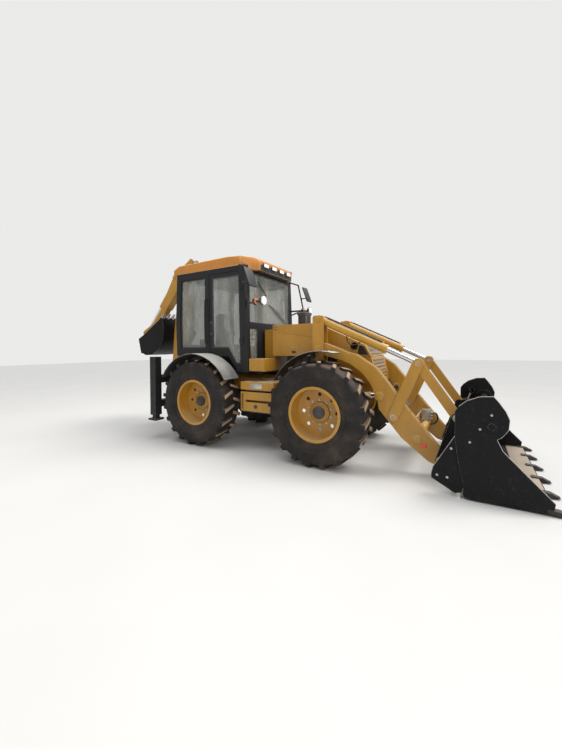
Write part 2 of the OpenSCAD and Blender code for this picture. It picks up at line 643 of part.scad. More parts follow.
// Loader bucket: back section and jaw
side_t = 21;
jaw_y = [bucket_w / 2 - side_t, bucket_w / 2];
back_y = [jaw_y[0] - clear - side_t, jaw_y[0] - clear];
jaw_pin_r = 36;
wall_outline = [[1745, 75], [1790, 330], [1880, 560], [1995, 790], [1960, 805], [1850, 580], [1755, 340], [1705, 75]];
back_outline = concat([[1443, 170], [1443, 215], [1462, 293], [1674, 655], [1835, 655]], arc(jaw_pin, 120, 200, -60, 10),
    [[1930, 560], [1830, 340], [1790, 120], [1745, 110], [1736, 60], [1673, 42]]);
clam_y = back_y[0] - 46;
module bucket() color("#141414") difference() {
    union() {
        slab(wall_outline, [-back_y[0] - 1, back_y[0] + 1]);
        ycyl(jaw_pin, 55, [-back_y[0] - 1, back_y[0] + 1]);
        both_sides() {
            slab(back_outline, back_y);
            // Flange along the rear edge
            slab([[1462, 293], [1674, 655], [1700, 640], [1488, 278]], [back_y[0] - 40, back_y[1]]);
            for (y = [fork_in, fork_out]) {
                slab(concat(arc(E, 58, 180, 300, 5), [[1730, 90], [1770, 340], [1862, 580], [1780, 830]],
                    arc(D, 62, 60, 180, 4)), y);
            }
            slab([[1610, 280], [1690, 260], [1760, 300], [1760, 400], [1680, 390], [1610, 380]], [clam_y - 68, clam_y - 46]);
            ycyl(clam_base, pin_r, [clam_y - 47, back_y[0] + 1]);
            ycyl(jaw_pin, jaw_pin_r, [back_y[0], jaw_y[1] + 15]);
        }
    }
    both_sides() ycyl(E, 35 + run, [fork_in[0] - 1, fork_out[1] + 1]);
}
jaw_floor = [[1760, 20], [2430, 20], [2540, 5], [2540, 22], [2430, 45], [1800, 45], [1765, 70], [1750, 50]];
jaw_side = [[1765, 30], [1838, 14], [2500, 12], [2516, 122], [2103, 559], [2052, 673], [2095, 702], [2150, 780],
    [2160, 880], [2127, 964], [2072, 1050], [2027, 1107], [1906, 1098], [1790, 1050], [1715, 985], [1678, 933],
    [1674, 655], [1700, 430], [1745, 200]];
module jaw_tooth(y) {
    slab([[2460, 23], [2560, 5], [tooth_tip_x, 20], [2560, 55], [2460, 60]], [y - 35, y + 35]);
}
module bucket_jaw() color("#141414") difference() {
    union() {
        slab(jaw_floor, [-jaw_y[0] - 1, jaw_y[0] + 1]);
        both_sides() {
            slab(jaw_side, jaw_y);
            // Stud that the clamshell ram pushes
            ycyl(jaw_ear, pin_r, [clam_y + 34, jaw_y[0] + 1]);
        }
        for (i = [0:tooth_count - 1]) {
            jaw_tooth(-jaw_y[1] + 35 + i * (bucket_w - 70) / (tooth_count - 1));
        }
    }
    both_sides() ycyl(jaw_pin, jaw_pin_r + run, [jaw_y[0] - 1, jaw_y[1] + 1]);
}
module clam_barrels() color("goldenrod") both_sides() at_y(clam_y) ram_barrel(CLAM_RAM, 76);
module clam_rods() color("silver") both_sides() at_y(clam_y) ram_rod(CLAM_RAM, 60);

// Rear frame, stabilisers and slewing post
leg_y = 1078;
leg_x = (rear_frame_x[0] + rear_frame_x[1]) / 2;
leg_half = 46;
foot_z = 330;
rail_low = [560, 680];
rail_high = [1000, 1140];
module rear_frame() color("#3a3a38") {
    for (z = [rail_low, rail_high]) {
        box(rear_frame_x, [-leg_y + 60, leg_y - 60], z);
    }
    both_sides() difference() {
        box(rear_frame_x, [leg_y - 72, leg_y + 72], [420, 1480]);
        box([leg_x - leg_half - clear, leg_x + leg_half + clear], [leg_y - leg_half - clear, leg_y + leg_half + clear],
            [400, 1500]);
    }
    // Wear pads that guide the legs
    both_sides() for (z = [440, 1340], s = [-1, 1]) {
        box(x_span(leg_x + s * (leg_half + gap), leg_x + s * (leg_half + clear + 1)), [leg_y - 30, leg_y + 30], [z, z + 100]);
        box([leg_x - 30, leg_x + 30], x_span(leg_y + s * (leg_half + gap), leg_y + s * (leg_half + clear + 1)), [z, z + 100]);
    }
}
module stabiliser() color("#3a3a38") {
    box([leg_x - leg_half, leg_x + leg_half], [leg_y - leg_half, leg_y + leg_half], [foot_z + 20, 1440]);
    box([leg_x - 100, leg_x + 100], [leg_y - 95, leg_y + 95], [foot_z, foot_z + 30]);
}
module stabiliser_left() stabiliser();
module stabiliser_right() mirror([0, 1, 0]) stabiliser();
lug_low = [560, 630];
lug_high = [900, 970];
swing_z = 770;
swing_y = 150;
swing_barrel = [post_x + 198, post_x + 590];
plate_x = [rear_frame_x[0] - 45, rear_frame_x[0] - gap];
module carriage() color("goldenrod") difference() {
    union() {
        box(plate_x, [-300, 300], [rail_low[0] - 25, rail_high[1] + 25]);
        box([plate_x[0], rear_frame_x[1] - 10], [-300, 300], [rail_high[1] + gap, rail_high[1] + 25]);
        box([plate_x[0], rear_frame_x[1] - 10], [-300, 300], [rail_low[0] - 25, rail_low[0] - gap]);
        for (z = [lug_low, lug_high]) {
            box([post_x, plate_x[0] + 1], [-90, 90], z);
            translate([post_x, 0, z[0]]) cylinder(h = z[1] - z[0], r = 100);
        }
        for (s = [-1, 1]) {
            xcyl(swing_barrel, s * swing_y, swing_z, 48);
        }
    }
    translate([post_x, 0, 400]) cylinder(h = 700, r = 58 + run);
    for (s = [-1, 1]) {
        xcyl([swing_barrel[0] - 1, swing_barrel[1] - 15], s * swing_y, swing_z, 22 + run);
    }
}
module swing_rod(s) color("silver") difference() {
    union() {
        xcyl([post_x + 30, post_x + 400], s * swing_y, swing_z, 22);
        translate([post_x, s * swing_y, swing_z - 20]) cylinder(h = 40, r = 40);
    }
    translate([post_x, s * swing_y, swing_z - 30]) cylinder(h = 60, r = 21);
}
module swing_rod_left() swing_rod(1);
module swing_rod_right() swing_rod(-1);
module swing_post() color("goldenrod") difference() {
    union() {
        translate([post_x, 0, lug_low[1] + 1]) cylinder(h = lug_high[0] - lug_low[1] - 2, r = 78);
        translate([post_x, 0, lug_low[0] - 20]) cylinder(h = lug_high[1] - lug_low[0] + 40, r = 58);
        translate([post_x, 0, lug_high[1] + 2]) cylinder(h = 40, r = 100);
        box([post_x - 120, post_x + 40], [-119, 119], [lug_low[1] + 10, 735]);
        both_sides() {
            slab(concat([[post_x + 40, 640], [post_x + 40, 735], [post_x - 150, 735]], arc(F, 90, 60, 300, 8),
                [[post_x - 150, 640]]), [95, 120]);
            slab(concat([[post_x - 95, lug_high[1] + 20], [post_x + 80, lug_high[1] + 20]],
                arc(U, 70, 0, 180, 8)), [68, 92]);
            box([post_x - 40, post_x + 40], [0, swing_y + 40], [swing_z + 32, swing_z + 52]);
        }
        ycyl(F, pivot_r, [-130, 130]);
        ycyl(U, pin_r, [-100, 100]);
    }
    both_sides() translate([post_x, swing_y, swing_z]) cylinder(h = 80, r = 21);
}

// Boom and dipper
function boom_at(s, n) = polar(polar(F, boom_angle, s), boom_angle - 90, n);
function dipper_at(u, v) = polar(polar(G, dipper_angle, u), dipper_angle - 90, v);
function dig_at(a, r) = polar(H, bucket_angle + a, r);
boom_half = 62;
boom_plate = [66, 90];
module boom() color("goldenrod") difference() {
    union() {
        both_sides() slab(concat(arc(F, 85, boom_angle + 90, boom_angle + 270, 8),
            [boom_at(660, 58), boom_at(1100, 190)], arc(W, 62, -60, 90, 5),
            [boom_at(1800, 150), boom_at(2230, 90), boom_at(2230, -80), boom_at(1500, -110),
             boom_at(600, -100)]), boom_plate);
        slab([boom_at(1850, 108), boom_at(2300, 82), boom_at(2300, -78), boom_at(1850, -93)], [-67, 67]);
        slab(concat([boom_at(2200, 80)], arc(G, 88, boom_angle - 90, boom_angle + 90, 8),
            [boom_at(2200, -76)]), [-boom_half, boom_half]);
        ycyl(F, 84, [-67, 67]);
        both_sides() {
            ycyl(V, 58, [boom_plate[0], boom_plate[1] + 8]);
        }
        ycyl(W, pin_r, [-100, 100]);
    }
    ycyl(F, pivot_r + run, [-100, 100]);
    ycyl(G, pivot_r + run, [-100, 100]);
}
module boom_barrel() color("goldenrod") ram_barrel(BOOM_RAM, 120);
module boom_rod() color("silver") ram_rod(BOOM_RAM, 90);
fork_y = [68, 90];
module dipper() color("goldenrod") difference() {
    union() {
        both_sides() slab(concat(arc(K, 70, 10, 150, 6), [dipper_at(-60, 105)], arc(X0, 55, 120, 200, 4),
            [dipper_at(900, 84), dipper_at(900, -90), dipper_at(420, -105)], arc(G, 100, -20, 20, 3)), fork_y);
        slab([dipper_at(440, -100), dipper_at(440, 86), dipper_at(880, 84), dipper_at(880, -90)],
            [-fork_y[0] - 1, fork_y[0] + 1]);
        slab(concat([dipper_at(800, -90), dipper_at(800, 84), dipper_at(1000, 84)],
            arc(H, 60, dipper_angle - 80, dipper_angle + 80, 8)), [-dipper_half, dipper_half]);
        ycyl(G, pivot_r, [-98, 98]);
        ycyl(X0, pin_r, [-98, 98]);
        ycyl(H, 60, [-88, 88]);
        ycyl(M, 28, [-96, 96]);
    }
    ycyl(H, 28 + run, [-100, 100]);
}
module dipper_barrel() color("goldenrod") ram_barrel(DIPPER_RAM, 110);
module dipper_rod() color("silver") ram_rod(DIPPER_RAM, 100);
module dig_barrel() color("goldenrod") ram_barrel(DIG_RAM, 100);
module dig_rod() color("silver") ram_rod(DIG_RAM, 76);
rocker_y = [70, 70 + rocker_t];
dig_link_y = [46, 64];
module hoe_rocker() color("goldenrod") both_sides() difference() {
    union() {
        bar(M, R, 48, rocker_y);
        ycyl(R, 28, [dig_link_y[0], rocker_y[1]]);
    }
    ycyl(M, 28 + run, [rocker_y[0] - 1, rocker_y[1] + 1]);
}
module hoe_link() color("goldenrod") both_sides() difference() {
    bar(R, N, 46, dig_link_y);
    ycyl(R, 28 + run, [dig_link_y[0] - 1, dig_link_y[1] + 1]);
    ycyl(N, 29, [dig_link_y[0] - 1, dig_link_y[1] + 1]);
}
hoe_half = hoe_bucket_w / 2;
ear_y = [94, 116];
// Bucket section as [angle from the tooth line, outer radius] seen from the dipper pin
dig_curve = [[-3, 780], [-20, 770], [-40, 735], [-60, 670], [-80, 585], [-100, 490], [-120, 400]];
module hoe_bucket() color("#1c1c1c") difference() {
    union() {
        slab(concat([for (p = dig_curve) dig_at(p[0], p[1])],
            [for (i = [len(dig_curve) - 1:-1:0]) dig_at(dig_curve[i][0], dig_curve[i][1] - 20)]),
            [-hoe_half + 1, hoe_half - 1]);
        both_sides() {
            slab(concat([for (p = dig_curve) dig_at(p[0], p[1])], [dig_at(-160, 120), dig_at(-30, 110)]),
                [hoe_half - 22, hoe_half]);
            slab(concat(arc(H, 62, bucket_angle - 60, bucket_angle + 150, 8), arc(N, 58, bucket_angle + 150, bucket_angle + 223, 4),
                [dig_at(-140, 320), dig_at(-120, 390), dig_at(-100, 480)]), ear_y);
            ycyl(H, 28, [80, ear_y[1] + 12]);
        }
        ycyl(dig_at(-117, 395), 24, [-hoe_half + 1, hoe_half - 1]);
        for (i = [0:hoe_tooth_count - 1]) {
            y = -hoe_half + 40 + i * (hoe_bucket_w - 80) / (hoe_tooth_count - 1);
            slab([dig_at(-6, 700), dig_at(-5, 790), dig_at(0, tip_r + 60), dig_at(-1, 780), dig_at(-2, 700)], [y - 25, y + 25]);
        }
    }
}

module place() {
    translate([back, 0, 0]) children();
}

place() chassis();
place() engine();
place() mudguards();
place() bodywork();
place() axles();
place() cab_frame();
place() cab_glass();
place() roof();
place() lamps();
place() controls();
place() rear_frame();
place() hood();
place() door_left();
place() door_left_glass();
place() door_right();
place() door_right_glass();
place() seat();
place() knuckle_fl();
place() knuckle_fr();
place() knuckle_rl();
place() knuckle_rr();
place() rim_fl();
place() rim_fr();
place() rim_rl();
place() rim_rr();
place() tyre_fl();
place() tyre_fr();
place() tyre_rl();
place() tyre_rr();
place() loader_arms();
place() lever_pins();
place() levers();
place() link_pins();
place() links();
place() bucket_pins();
place() bucket();
place() bucket_jaw();
place() lift_barrels();
place() lift_rods();
place() tilt_barrels();
place() tilt_rods();
place() clam_barrels();
place() clam_rods();
place() stabiliser_left();
place() stabiliser_right();
place() carriage();
place() swing_rod_left();
place() swing_rod_right();
place() swing_post();
place() boom();
place() boom_barrel();
place() boom_rod();
place() dipper();
place() dipper_barrel();
place() dipper_rod();
place() hoe_rocker();
place() hoe_link();
place() hoe_bucket();
place() dig_barrel();
place() dig_rod();
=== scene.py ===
"""Backhoe loader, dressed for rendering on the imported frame.

Lengths are metres. Sizes taken from a side view count X from the front axle; `at()` moves them into the
frame, whose X = 0 lies under the middle of the machine.
"""

from __future__ import annotations

import json
import logging
import math
from dataclasses import dataclass, field
from enum import Enum
from typing import Callable, Iterable, Sequence

import bmesh
import bpy
from mathutils import Matrix, Vector

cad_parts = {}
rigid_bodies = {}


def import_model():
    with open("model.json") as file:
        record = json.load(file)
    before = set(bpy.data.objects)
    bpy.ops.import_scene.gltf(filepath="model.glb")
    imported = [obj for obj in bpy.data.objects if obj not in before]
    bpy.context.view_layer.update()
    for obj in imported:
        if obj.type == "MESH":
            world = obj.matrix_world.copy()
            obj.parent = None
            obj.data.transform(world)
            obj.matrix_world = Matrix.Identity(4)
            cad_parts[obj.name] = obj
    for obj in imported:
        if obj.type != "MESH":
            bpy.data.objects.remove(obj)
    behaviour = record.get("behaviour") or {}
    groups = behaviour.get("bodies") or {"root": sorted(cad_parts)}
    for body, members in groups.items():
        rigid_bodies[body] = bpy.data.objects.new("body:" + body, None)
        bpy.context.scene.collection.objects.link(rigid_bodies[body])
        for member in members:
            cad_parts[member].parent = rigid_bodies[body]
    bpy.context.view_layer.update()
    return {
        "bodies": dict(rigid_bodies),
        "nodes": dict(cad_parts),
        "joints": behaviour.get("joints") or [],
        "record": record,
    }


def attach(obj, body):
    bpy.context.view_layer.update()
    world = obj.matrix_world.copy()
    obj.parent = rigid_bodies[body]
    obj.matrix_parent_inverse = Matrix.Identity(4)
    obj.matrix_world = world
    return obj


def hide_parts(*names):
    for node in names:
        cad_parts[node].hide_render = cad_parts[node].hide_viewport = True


LOG = logging.getLogger("backhoe")
Colour = tuple[float, float, float]
Point = tuple[float, float, float]
SidePoint = tuple[float, float]
Verts = list[bmesh.types.BMVert]
FRONT_AXLE_X = 1.09371
AXLE_Z = 0.72
WHEELBASE = 2.2
ARM_Y = 0.6


def at(x: float, y: float, z: float) -> Vector:
    """Point of the frame from a point counted from the front axle.

    Args:
        x: Distance in front of the front axle.
        y: Distance to the left of the middle.
        z: Height over the ground.

    Returns:
        The same point in the frame.
    """
    return Vector((x + FRONT_AXLE_X, y, z))


# Shader maths


class Ink:
    """A socket that takes part in Python arithmetic; each operation adds one Math node."""

    def __init__(self, recipe: Recipe, socket: bpy.types.NodeSocket) -> None:
        """Wraps a socket.

        Args:
            recipe: The material that the socket belongs to.
            socket: The output socket.
        """
        self.recipe = recipe
        self.socket = socket

    def _math(self, operation: str, *values: Ink | float) -> Ink:
        """Adds a Math node with these inputs."""
        node = self.recipe.node("ShaderNodeMath", {"operation": operation}, dict(enumerate(values)))
        return Ink(self.recipe, node.outputs[0])

    def __add__(self, other: Ink | float) -> Ink:
        """Sum."""
        return self._math("ADD", self, other)

    def __radd__(self, other: float) -> Ink:
        """Sum with a number on the left."""
        return self._math("ADD", other, self)

    def __sub__(self, other: Ink | float) -> Ink:
        """Difference."""
        return self._math("SUBTRACT", self, other)

    def __rsub__(self, other: float) -> Ink:
        """Difference from a number."""
        return self._math("SUBTRACT", other, self)

    def __mul__(self, other: Ink | float) -> Ink:
        """Product."""
        return self._math("MULTIPLY", self, other)

    def __rmul__(self, other: float) -> Ink:
        """Product with a number on the left."""
        return self._math("MULTIPLY", other, self)

    def __pow__(self, other: float) -> Ink:
        """Power."""
        return self._math("POWER", self, other)

    def clamp(self) -> Ink:
        """The value kept between 0 and 1."""
        return self._math("MAXIMUM", self._math("MINIMUM", self, 1.0), 0.0)

    def rise(self, low: float, high: float) -> Ink:
        """Smooth step from 0 at low to 1 at high.

        Args:
            low: Value that gives 0.
            high: Value that gives 1.

        Returns:
            The stepped value.
        """
        node = self.recipe.node(
            "ShaderNodeMapRange",
            {"interpolation_type": "SMOOTHSTEP"},
            {"Value": self, "From Min": low, "From Max": high},
        )
        return Ink(self.recipe, node.outputs[0])


class Recipe:
    """Builds the node tree of one material."""

    def __init__(self, name: str) -> None:
        """Starts an empty material with a Principled shader.

        Args:
            name: Name of the material.
        """
        self.material = bpy.data.materials.new(name)
        self.material.use_nodes = True
        self.tree = self.material.node_tree
        self.tree.nodes.clear()
        self.output = self.tree.nodes.new("ShaderNodeOutputMaterial")
        self.shader = self.tree.nodes.new("ShaderNodeBsdfPrincipled")
        self.tree.links.new(self.shader.outputs[0], self.output.inputs["Surface"])
        self._coords: bpy.types.Node | None = None

    def node(self, kind: str, settings: dict[str, object], inputs: dict[object, object]) -> bpy.types.Node:
        """Adds a node.

        Args:
            kind: Blender's node type.
            settings: Properties, set first; the key "stops" holds a colour ramp's stops.
            inputs: Values or links, by socket name or number.

        Returns:
            The node.
        """
        node = self.tree.nodes.new(kind)
        for key, value in settings.items():
            if key == "stops":
                ramp = node.color_ramp
                while len(ramp.elements) < len(value):
                    ramp.elements.new(0.5)
                for element, (place, colour) in zip(ramp.elements, value):
                    element.position = place
                    element.color = (*colour, 1.0)
            else:
                setattr(node, key, value)
        for key, value in inputs.items():
            self.plug(node.inputs[key], value)
        return node

    def plug(self, socket: bpy.types.NodeSocket, value: object) -> None:
        """Links or sets one input.

        Args:
            socket: The input socket.
            value: An Ink, a colour, a vector or a number.
        """
        if isinstance(value, Ink):
            self.tree.links.new(value.socket, socket)
        elif socket.type == "RGBA" and isinstance(value, (tuple, list)):
            socket.default_value = (*value[:3], 1.0)
        else:
            socket.default_value = value

    def coords(self, output: str = "Object") -> Ink:
        """Object coordinates, or another output of Texture Coordinate."""
        if self._coords is None:
            self._coords = self.node("ShaderNodeTexCoord", {}, {})
        return Ink(self, self._coords.outputs[output])

    def scaled(self, scale: Point, turn: Point = (0.0, 0.0, 0.0)) -> Ink:
        """Object coordinates, turned and stretched.

        Args:
            scale: Scale on each axis.
            turn: Rotation on each axis in radians.

        Returns:
            The mapped vector.
        """
        node = self.node("ShaderNodeMapping", {}, {"Vector": self.coords(), "Rotation": turn, "Scale": scale})
        return Ink(self, node.outputs[0])

    def noise(self, scale: float, detail: float = 4.0, rough: float = 0.55, vector: Ink | None = None) -> Ink:
        """Fractal noise around 0.5.

        Args:
            scale: Pattern repeats in a metre.
            detail: Number of octaves.
            rough: Weight of the finer octaves.
            vector: Coordinates, or Object coordinates.

        Returns:
            The noise value.
        """
        node = self.node(
            "ShaderNodeTexNoise",
            {},
            {"Vector": vector or self.coords(), "Scale": scale, "Detail": detail, "Roughness": rough},
        )
        return Ink(self, node.outputs[0])

    def cells(self, scale: float, feature: str = "F1") -> Ink:
        """Distance of a Voronoi pattern."""
        inputs = {"Vector": self.coords(), "Scale": scale}
        return Ink(self, self.node("ShaderNodeTexVoronoi", {"feature": feature}, inputs).outputs["Distance"])

    def axis(self, vector: Ink, name: str) -> Ink:
        """One component of a vector."""
        node = self.node("ShaderNodeSeparateXYZ", {}, {0: vector})
        return Ink(self, node.outputs[name])

    def stored(self, name: str) -> Ink:
        """A number stored on the mesh, 0 where it has none."""
        node = self.node("ShaderNodeAttribute", {"attribute_name": name}, {})
        return Ink(self, node.outputs["Fac"])

    def mix(self, share: Ink | float, first: Ink | Colour, second: Ink | Colour) -> Ink:
        """Mixes two colours.

        Args:
            share: Weight of the second colour.
            first: Colour at 0.
            second: Colour at 1.

        Returns:
            The mixed colour.
        """
        node = self.node("ShaderNodeMix", {"data_type": "RGBA"}, {0: share, 6: first, 7: second})
        return Ink(self, node.outputs[2])

    def bump(self, height: Ink, strength: float, distance: float) -> None:
        """Feeds a Bump node to the shader's normal.

        Args:
            height: Height pattern from 0 to 1.
            strength: Strength of the bump.
            distance: Height of the relief in metres.
        """
        node = self.node("ShaderNodeBump", {}, {"Height": height, "Strength": strength, "Distance": distance})
        self.plug(self.shader.inputs["Normal"], Ink(self, node.outputs[0]))

    def set(self, **values: object) -> None:
        """Sets the shader's inputs; an underscore in a name stands for a space."""
        for key, value in values.items():
            self.plug(self.shader.inputs[key.replace("_", " ")], value)

    def dust(self, amount: float, low: float = 1.1) -> Ink:
        """Mask of dust that lies on upward faces and clings near the ground.

        Args:
            amount: Largest share of dust.
            low: Height under which spray from the ground is seen.

        Returns:
            The mask.
        """
        up = self.axis(self.coords("Normal"), "Z")
        height = self.axis(self.coords(), "Z")
        patches = self.noise(3.2, 6.0, 0.62)
        lying = (up + patches * 0.5).rise(0.55, 1.3)
        spray = (1.0 - height.rise(low * 0.25, low)) * patches.rise(0.35, 0.75)
        return ((lying + spray * 0.55 + patches.rise(0.62, 0.85) * 0.3) * amount).clamp()


class Finish:
    """Base of every finish: a look that is made once and shared."""

    name: str

    def cook(self, recipe: Recipe) -> None:
        """Fills the recipe with the finish's nodes."""
        raise NotImplementedError

    def material(self) -> bpy.types.Material:
        """The finish as a Blender material, made at its first use."""
        found = bpy.data.materials.get(self.name)
        if found is None:
            recipe = Recipe(self.name)
            self.cook(recipe)
            found = recipe.material
        return found


@dataclass(frozen=True)
class MachinePaint(Finish):
    """Sprayed enamel on steel plate, dusty, with worn edges that also carry a painted highlight."""

    name: str
    colour: Colour
    shade: Colour
    dust_colour: Colour
    dust: float = 0.45
    # Share of pale edge colour: partly worn paint, partly a painted highlight along the edges.
    edge: float = 0.55
    rough: float = 0.36
    coat: float = 0.15
    low: float = 1.1
    gloss: float = 0.5

    def cook(self, recipe: Recipe) -> None:
        """Fills the recipe with the paint's nodes."""
        broad = recipe.noise(1.7, 5.0, 0.6)
        fine = recipe.noise(38.0, 4.0, 0.6)
        runs = recipe.noise(1.0, 5.0, 0.6, recipe.scaled((9.0, 9.0, 1.1)))
        # Bevelled edges take the dust colour: partly wear, partly a painted highlight.
        edge_wear_and_highlight = recipe.stored("edge") * (fine + broad * 0.4).rise(0.42, 0.85)
        chips = recipe.stored("edge") * recipe.noise(75.0, 3.0, 0.5).rise(0.62, 0.7)
        tone = (broad.rise(0.3, 0.75) * 0.6 + runs.rise(0.45, 0.8) * 0.45).clamp()
        paint = recipe.mix(tone, self.colour, self.shade)
        dust = (recipe.dust(self.dust, self.low) + edge_wear_and_highlight * self.edge + fine.rise(0.55, 0.9) * 0.08).clamp()
        dusty = recipe.mix(dust, paint, self.dust_colour)
        bare = recipe.mix(chips * 0.6, dusty, (0.16, 0.13, 0.10))
        recipe.set(
            Base_Color=bare,
            Roughness=(self.rough + dust * 0.42 + fine * 0.08).clamp(),
            Coat_Weight=(1.0 - dust) * self.coat,
            Coat_Roughness=0.12,
            Specular_IOR_Level=self.gloss,
            Metallic=0.0,
        )
        peel = recipe.noise(240.0, 2.0, 0.5)
        recipe.bump(peel * 0.4 + fine * 0.6 + dust * 0.8, 0.35, 0.0012)


@dataclass(frozen=True)
class TreadRubber(Finish):
    """Tyre rubber with clay dust dried on the lugs and the shoulders."""

    name: str = "tread_rubber"
    colour: Colour = (0.010, 0.008, 0.007)
    clay: Colour = (0.37, 0.250, 0.160)

    def cook(self, recipe: Recipe) -> None:
        """Fills the recipe with the rubber's nodes."""
        broad = recipe.noise(5.0, 6.0, 0.65)
        fine = recipe.noise(55.0, 5.0, 0.65)
        grain = recipe.noise(420.0, 2.0, 0.5)
        lug = recipe.stored("lug")
        edge = recipe.stored("edge")
        clay = (
            lug * (broad * 0.6 + fine * 0.5).rise(0.16, 0.56) * 0.90
            + edge * fine.rise(0.3, 0.7) * 0.6
            + recipe.dust(0.20, 0.7)
            + (broad + fine * 0.4).rise(0.70, 1.05) * 0.10
        ).clamp()
        worn = recipe.mix(broad.rise(0.3, 0.8), self.colour, (0.026, 0.021, 0.018))
        recipe.set(
            Base_Color=recipe.mix(clay, worn, self.clay),
            Roughness=(0.62 + clay * 0.3 + fine * 0.06).clamp(),
            Specular_IOR_Level=0.35,
        )
        recipe.bump(fine * 0.6 + grain * 0.3 + clay * 0.4, 0.5, 0.002)


@dataclass(frozen=True)
class MouldedPlastic(Finish):
    """Grained black plastic and rubber trim under a film of dust."""

    name: str = "moulded_plastic"
    colour: Colour = (0.022, 0.022, 0.023)
    dust_colour: Colour = (0.42, 0.39, 0.35)
    dust: float = 0.45
    rough: float = 0.5

    def cook(self, recipe: Recipe) -> None:
        """Fills the recipe with the plastic's nodes."""
        broad = recipe.noise(4.0, 5.0, 0.6)
        grain = recipe.cells(260.0)
        dust = (recipe.dust(self.dust, 1.2) + recipe.stored("edge") * broad.rise(0.3, 0.7) * 0.35).clamp()
        plastic = recipe.mix(broad, self.colour, (0.05, 0.05, 0.052))
        recipe.set(
            Base_Color=recipe.mix(dust, plastic, self.dust_colour),
            Roughness=(self.rough + dust * 0.35 + broad * 0.1).clamp(),
        )
        recipe.bump(grain + broad * 0.4, 0.25, 0.0008)


@dataclass(frozen=True)
class BareSteel(Finish):
    """Machined or worn bright steel with fine scratches and grease."""

    name: str = "bare_steel"
    colour: Colour = (0.50, 0.48, 0.45)
    dirt: Colour = (0.10, 0.075, 0.05)
    rough: float = 0.34
    grime: float = 0.5

    def cook(self, recipe: Recipe) -> None:
        """Fills the recipe with the steel's nodes."""
        scratch = recipe.noise(6.0, 6.0, 0.7, recipe.scaled((3.0, 60.0, 12.0)))
        broad = recipe.noise(7.0, 5.0, 0.6)
        grime = (broad.rise(0.45, 0.8) * self.grime + recipe.dust(0.25, 0.9)).clamp()
        recipe.set(
            Base_Color=recipe.mix(grime, self.colour, self.dirt),
            Metallic=(1.0 - grime * 0.8).clamp(),
            Roughness=(self.rough + scratch * 0.2 + grime * 0.3).clamp(),
        )
        recipe.bump(scratch, 0.2, 0.0004)


@dataclass(frozen=True)
class RodChrome(Finish):
    """Hard chrome of a ram's rod, with a thin oil film and dust patches."""

    name: str = "rod_chrome"

    def cook(self, recipe: Recipe) -> None:
        """Fills the recipe with the chrome's nodes."""
        film = recipe.noise(14.0, 4.0, 0.6)
        broad = recipe.noise(2.5, 3.0, 0.5)
        dull = (film.rise(0.5, 0.85) * 0.22 + broad.rise(0.4, 0.8) * 0.18).clamp()
        recipe.set(
            Base_Color=recipe.mix(dull, (0.74, 0.74, 0.75), (0.40, 0.36, 0.31)),
            Metallic=(1.0 - dull * 0.3).clamp(),
            Roughness=(0.10 + dull * 0.45).clamp(),
        )
        recipe.bump(film, 0.08, 0.0003)


@dataclass(frozen=True)
class CabGlass(Finish):
    """Tempered pane with a green cast and a streaky veil of dust."""

    name: str = "cab_glass"
    veil: Colour = (0.56, 0.55, 0.49)
    clear: float = 0.36

    def cook(self, recipe: Recipe) -> None:
        """Fills the recipe with the pane's nodes."""
        streak = recipe.noise(2.0, 6.0, 0.65, recipe.scaled((2.0, 2.0, 0.7)))
        fine = recipe.noise(60.0, 4.0, 0.6)
        veil = (streak.rise(0.35, 0.8) * 0.7 + fine.rise(0.5, 0.9) * 0.25).clamp()
        recipe.set(
            Base_Color=recipe.mix(veil, (0.27, 0.28, 0.25), self.veil),
            Roughness=(0.03 + veil * 0.22).clamp(),
            Alpha=(self.clear + veil * 0.42).clamp(),
            Specular_IOR_Level=0.6,
        )
        recipe.bump(streak, 0.03, 0.002)
        recipe.material.surface_render_method = "BLENDED"


@dataclass(frozen=True)
class LampLens(Finish):
    """Ribbed lens over a reflector."""

    name: str
    colour: Colour
    glow: float = 0.25

    def cook(self, recipe: Recipe) -> None:
        """Fills the recipe with the lens's nodes."""
        ribs = recipe.cells(90.0)
        dirt = recipe.noise(9.0, 5.0, 0.6).rise(0.45, 0.85)
        recipe.set(
            Base_Color=recipe.mix(dirt * 0.35, self.colour, (0.40, 0.36, 0.30)),
            Roughness=(0.10 + dirt * 0.4 + ribs * 0.08).clamp(),
            Coat_Weight=0.6,
            Coat_Roughness=0.08,
            Emission_Color=self.colour,
            Emission_Strength=self.glow,
        )
        recipe.bump(ribs, 0.35, 0.0015)


@dataclass(frozen=True)
class CastIron(Finish):
    """Axle casings and knuckles: rough casting under old paint, oil and dust."""

    name: str = "cast_iron"
    colour: Colour = (0.055, 0.045, 0.038)
    dust_colour: Colour = (0.25, 0.18, 0.12)

    def cook(self, recipe: Recipe) -> None:
        """Fills the recipe with the casting's nodes."""
        broad = recipe.noise(5.0, 6.0, 0.65)
        pits = recipe.noise(120.0, 4.0, 0.7)
        dust = (recipe.dust(0.6, 1.0) + broad.rise(0.5, 0.8) * 0.3).clamp()
        recipe.set(
            Base_Color=recipe.mix(dust, self.colour, self.dust_colour),
            Roughness=(0.5 + dust * 0.35 + pits * 0.1).clamp(),
            Metallic=(0.35 - dust * 0.35).clamp(),
        )
        recipe.bump(pits + broad * 0.5, 0.6, 0.003)


@dataclass(frozen=True)
class HoseRubber(Finish):
    """Hydraulic hose: wrapped cover with a faint spiral and a greasy shine."""

    name: str = "hose_rubber"
    colour: Colour = (0.016, 0.016, 0.017)

    def cook(self, recipe: Recipe) -> None:
        """Fills the recipe with the hose's nodes."""
        wrap = recipe.noise(150.0, 3.0, 0.6)
        broad = recipe.noise(8.0, 4.0, 0.6)
        dust = (recipe.dust(0.4, 1.0) + broad.rise(0.55, 0.85) * 0.2).clamp()
        recipe.set(
            Base_Color=recipe.mix(dust, self.colour, (0.30, 0.26, 0.21)),
            Roughness=(0.38 + dust * 0.4 + wrap * 0.1).clamp(),
        )
        recipe.bump(wrap, 0.35, 0.0008)


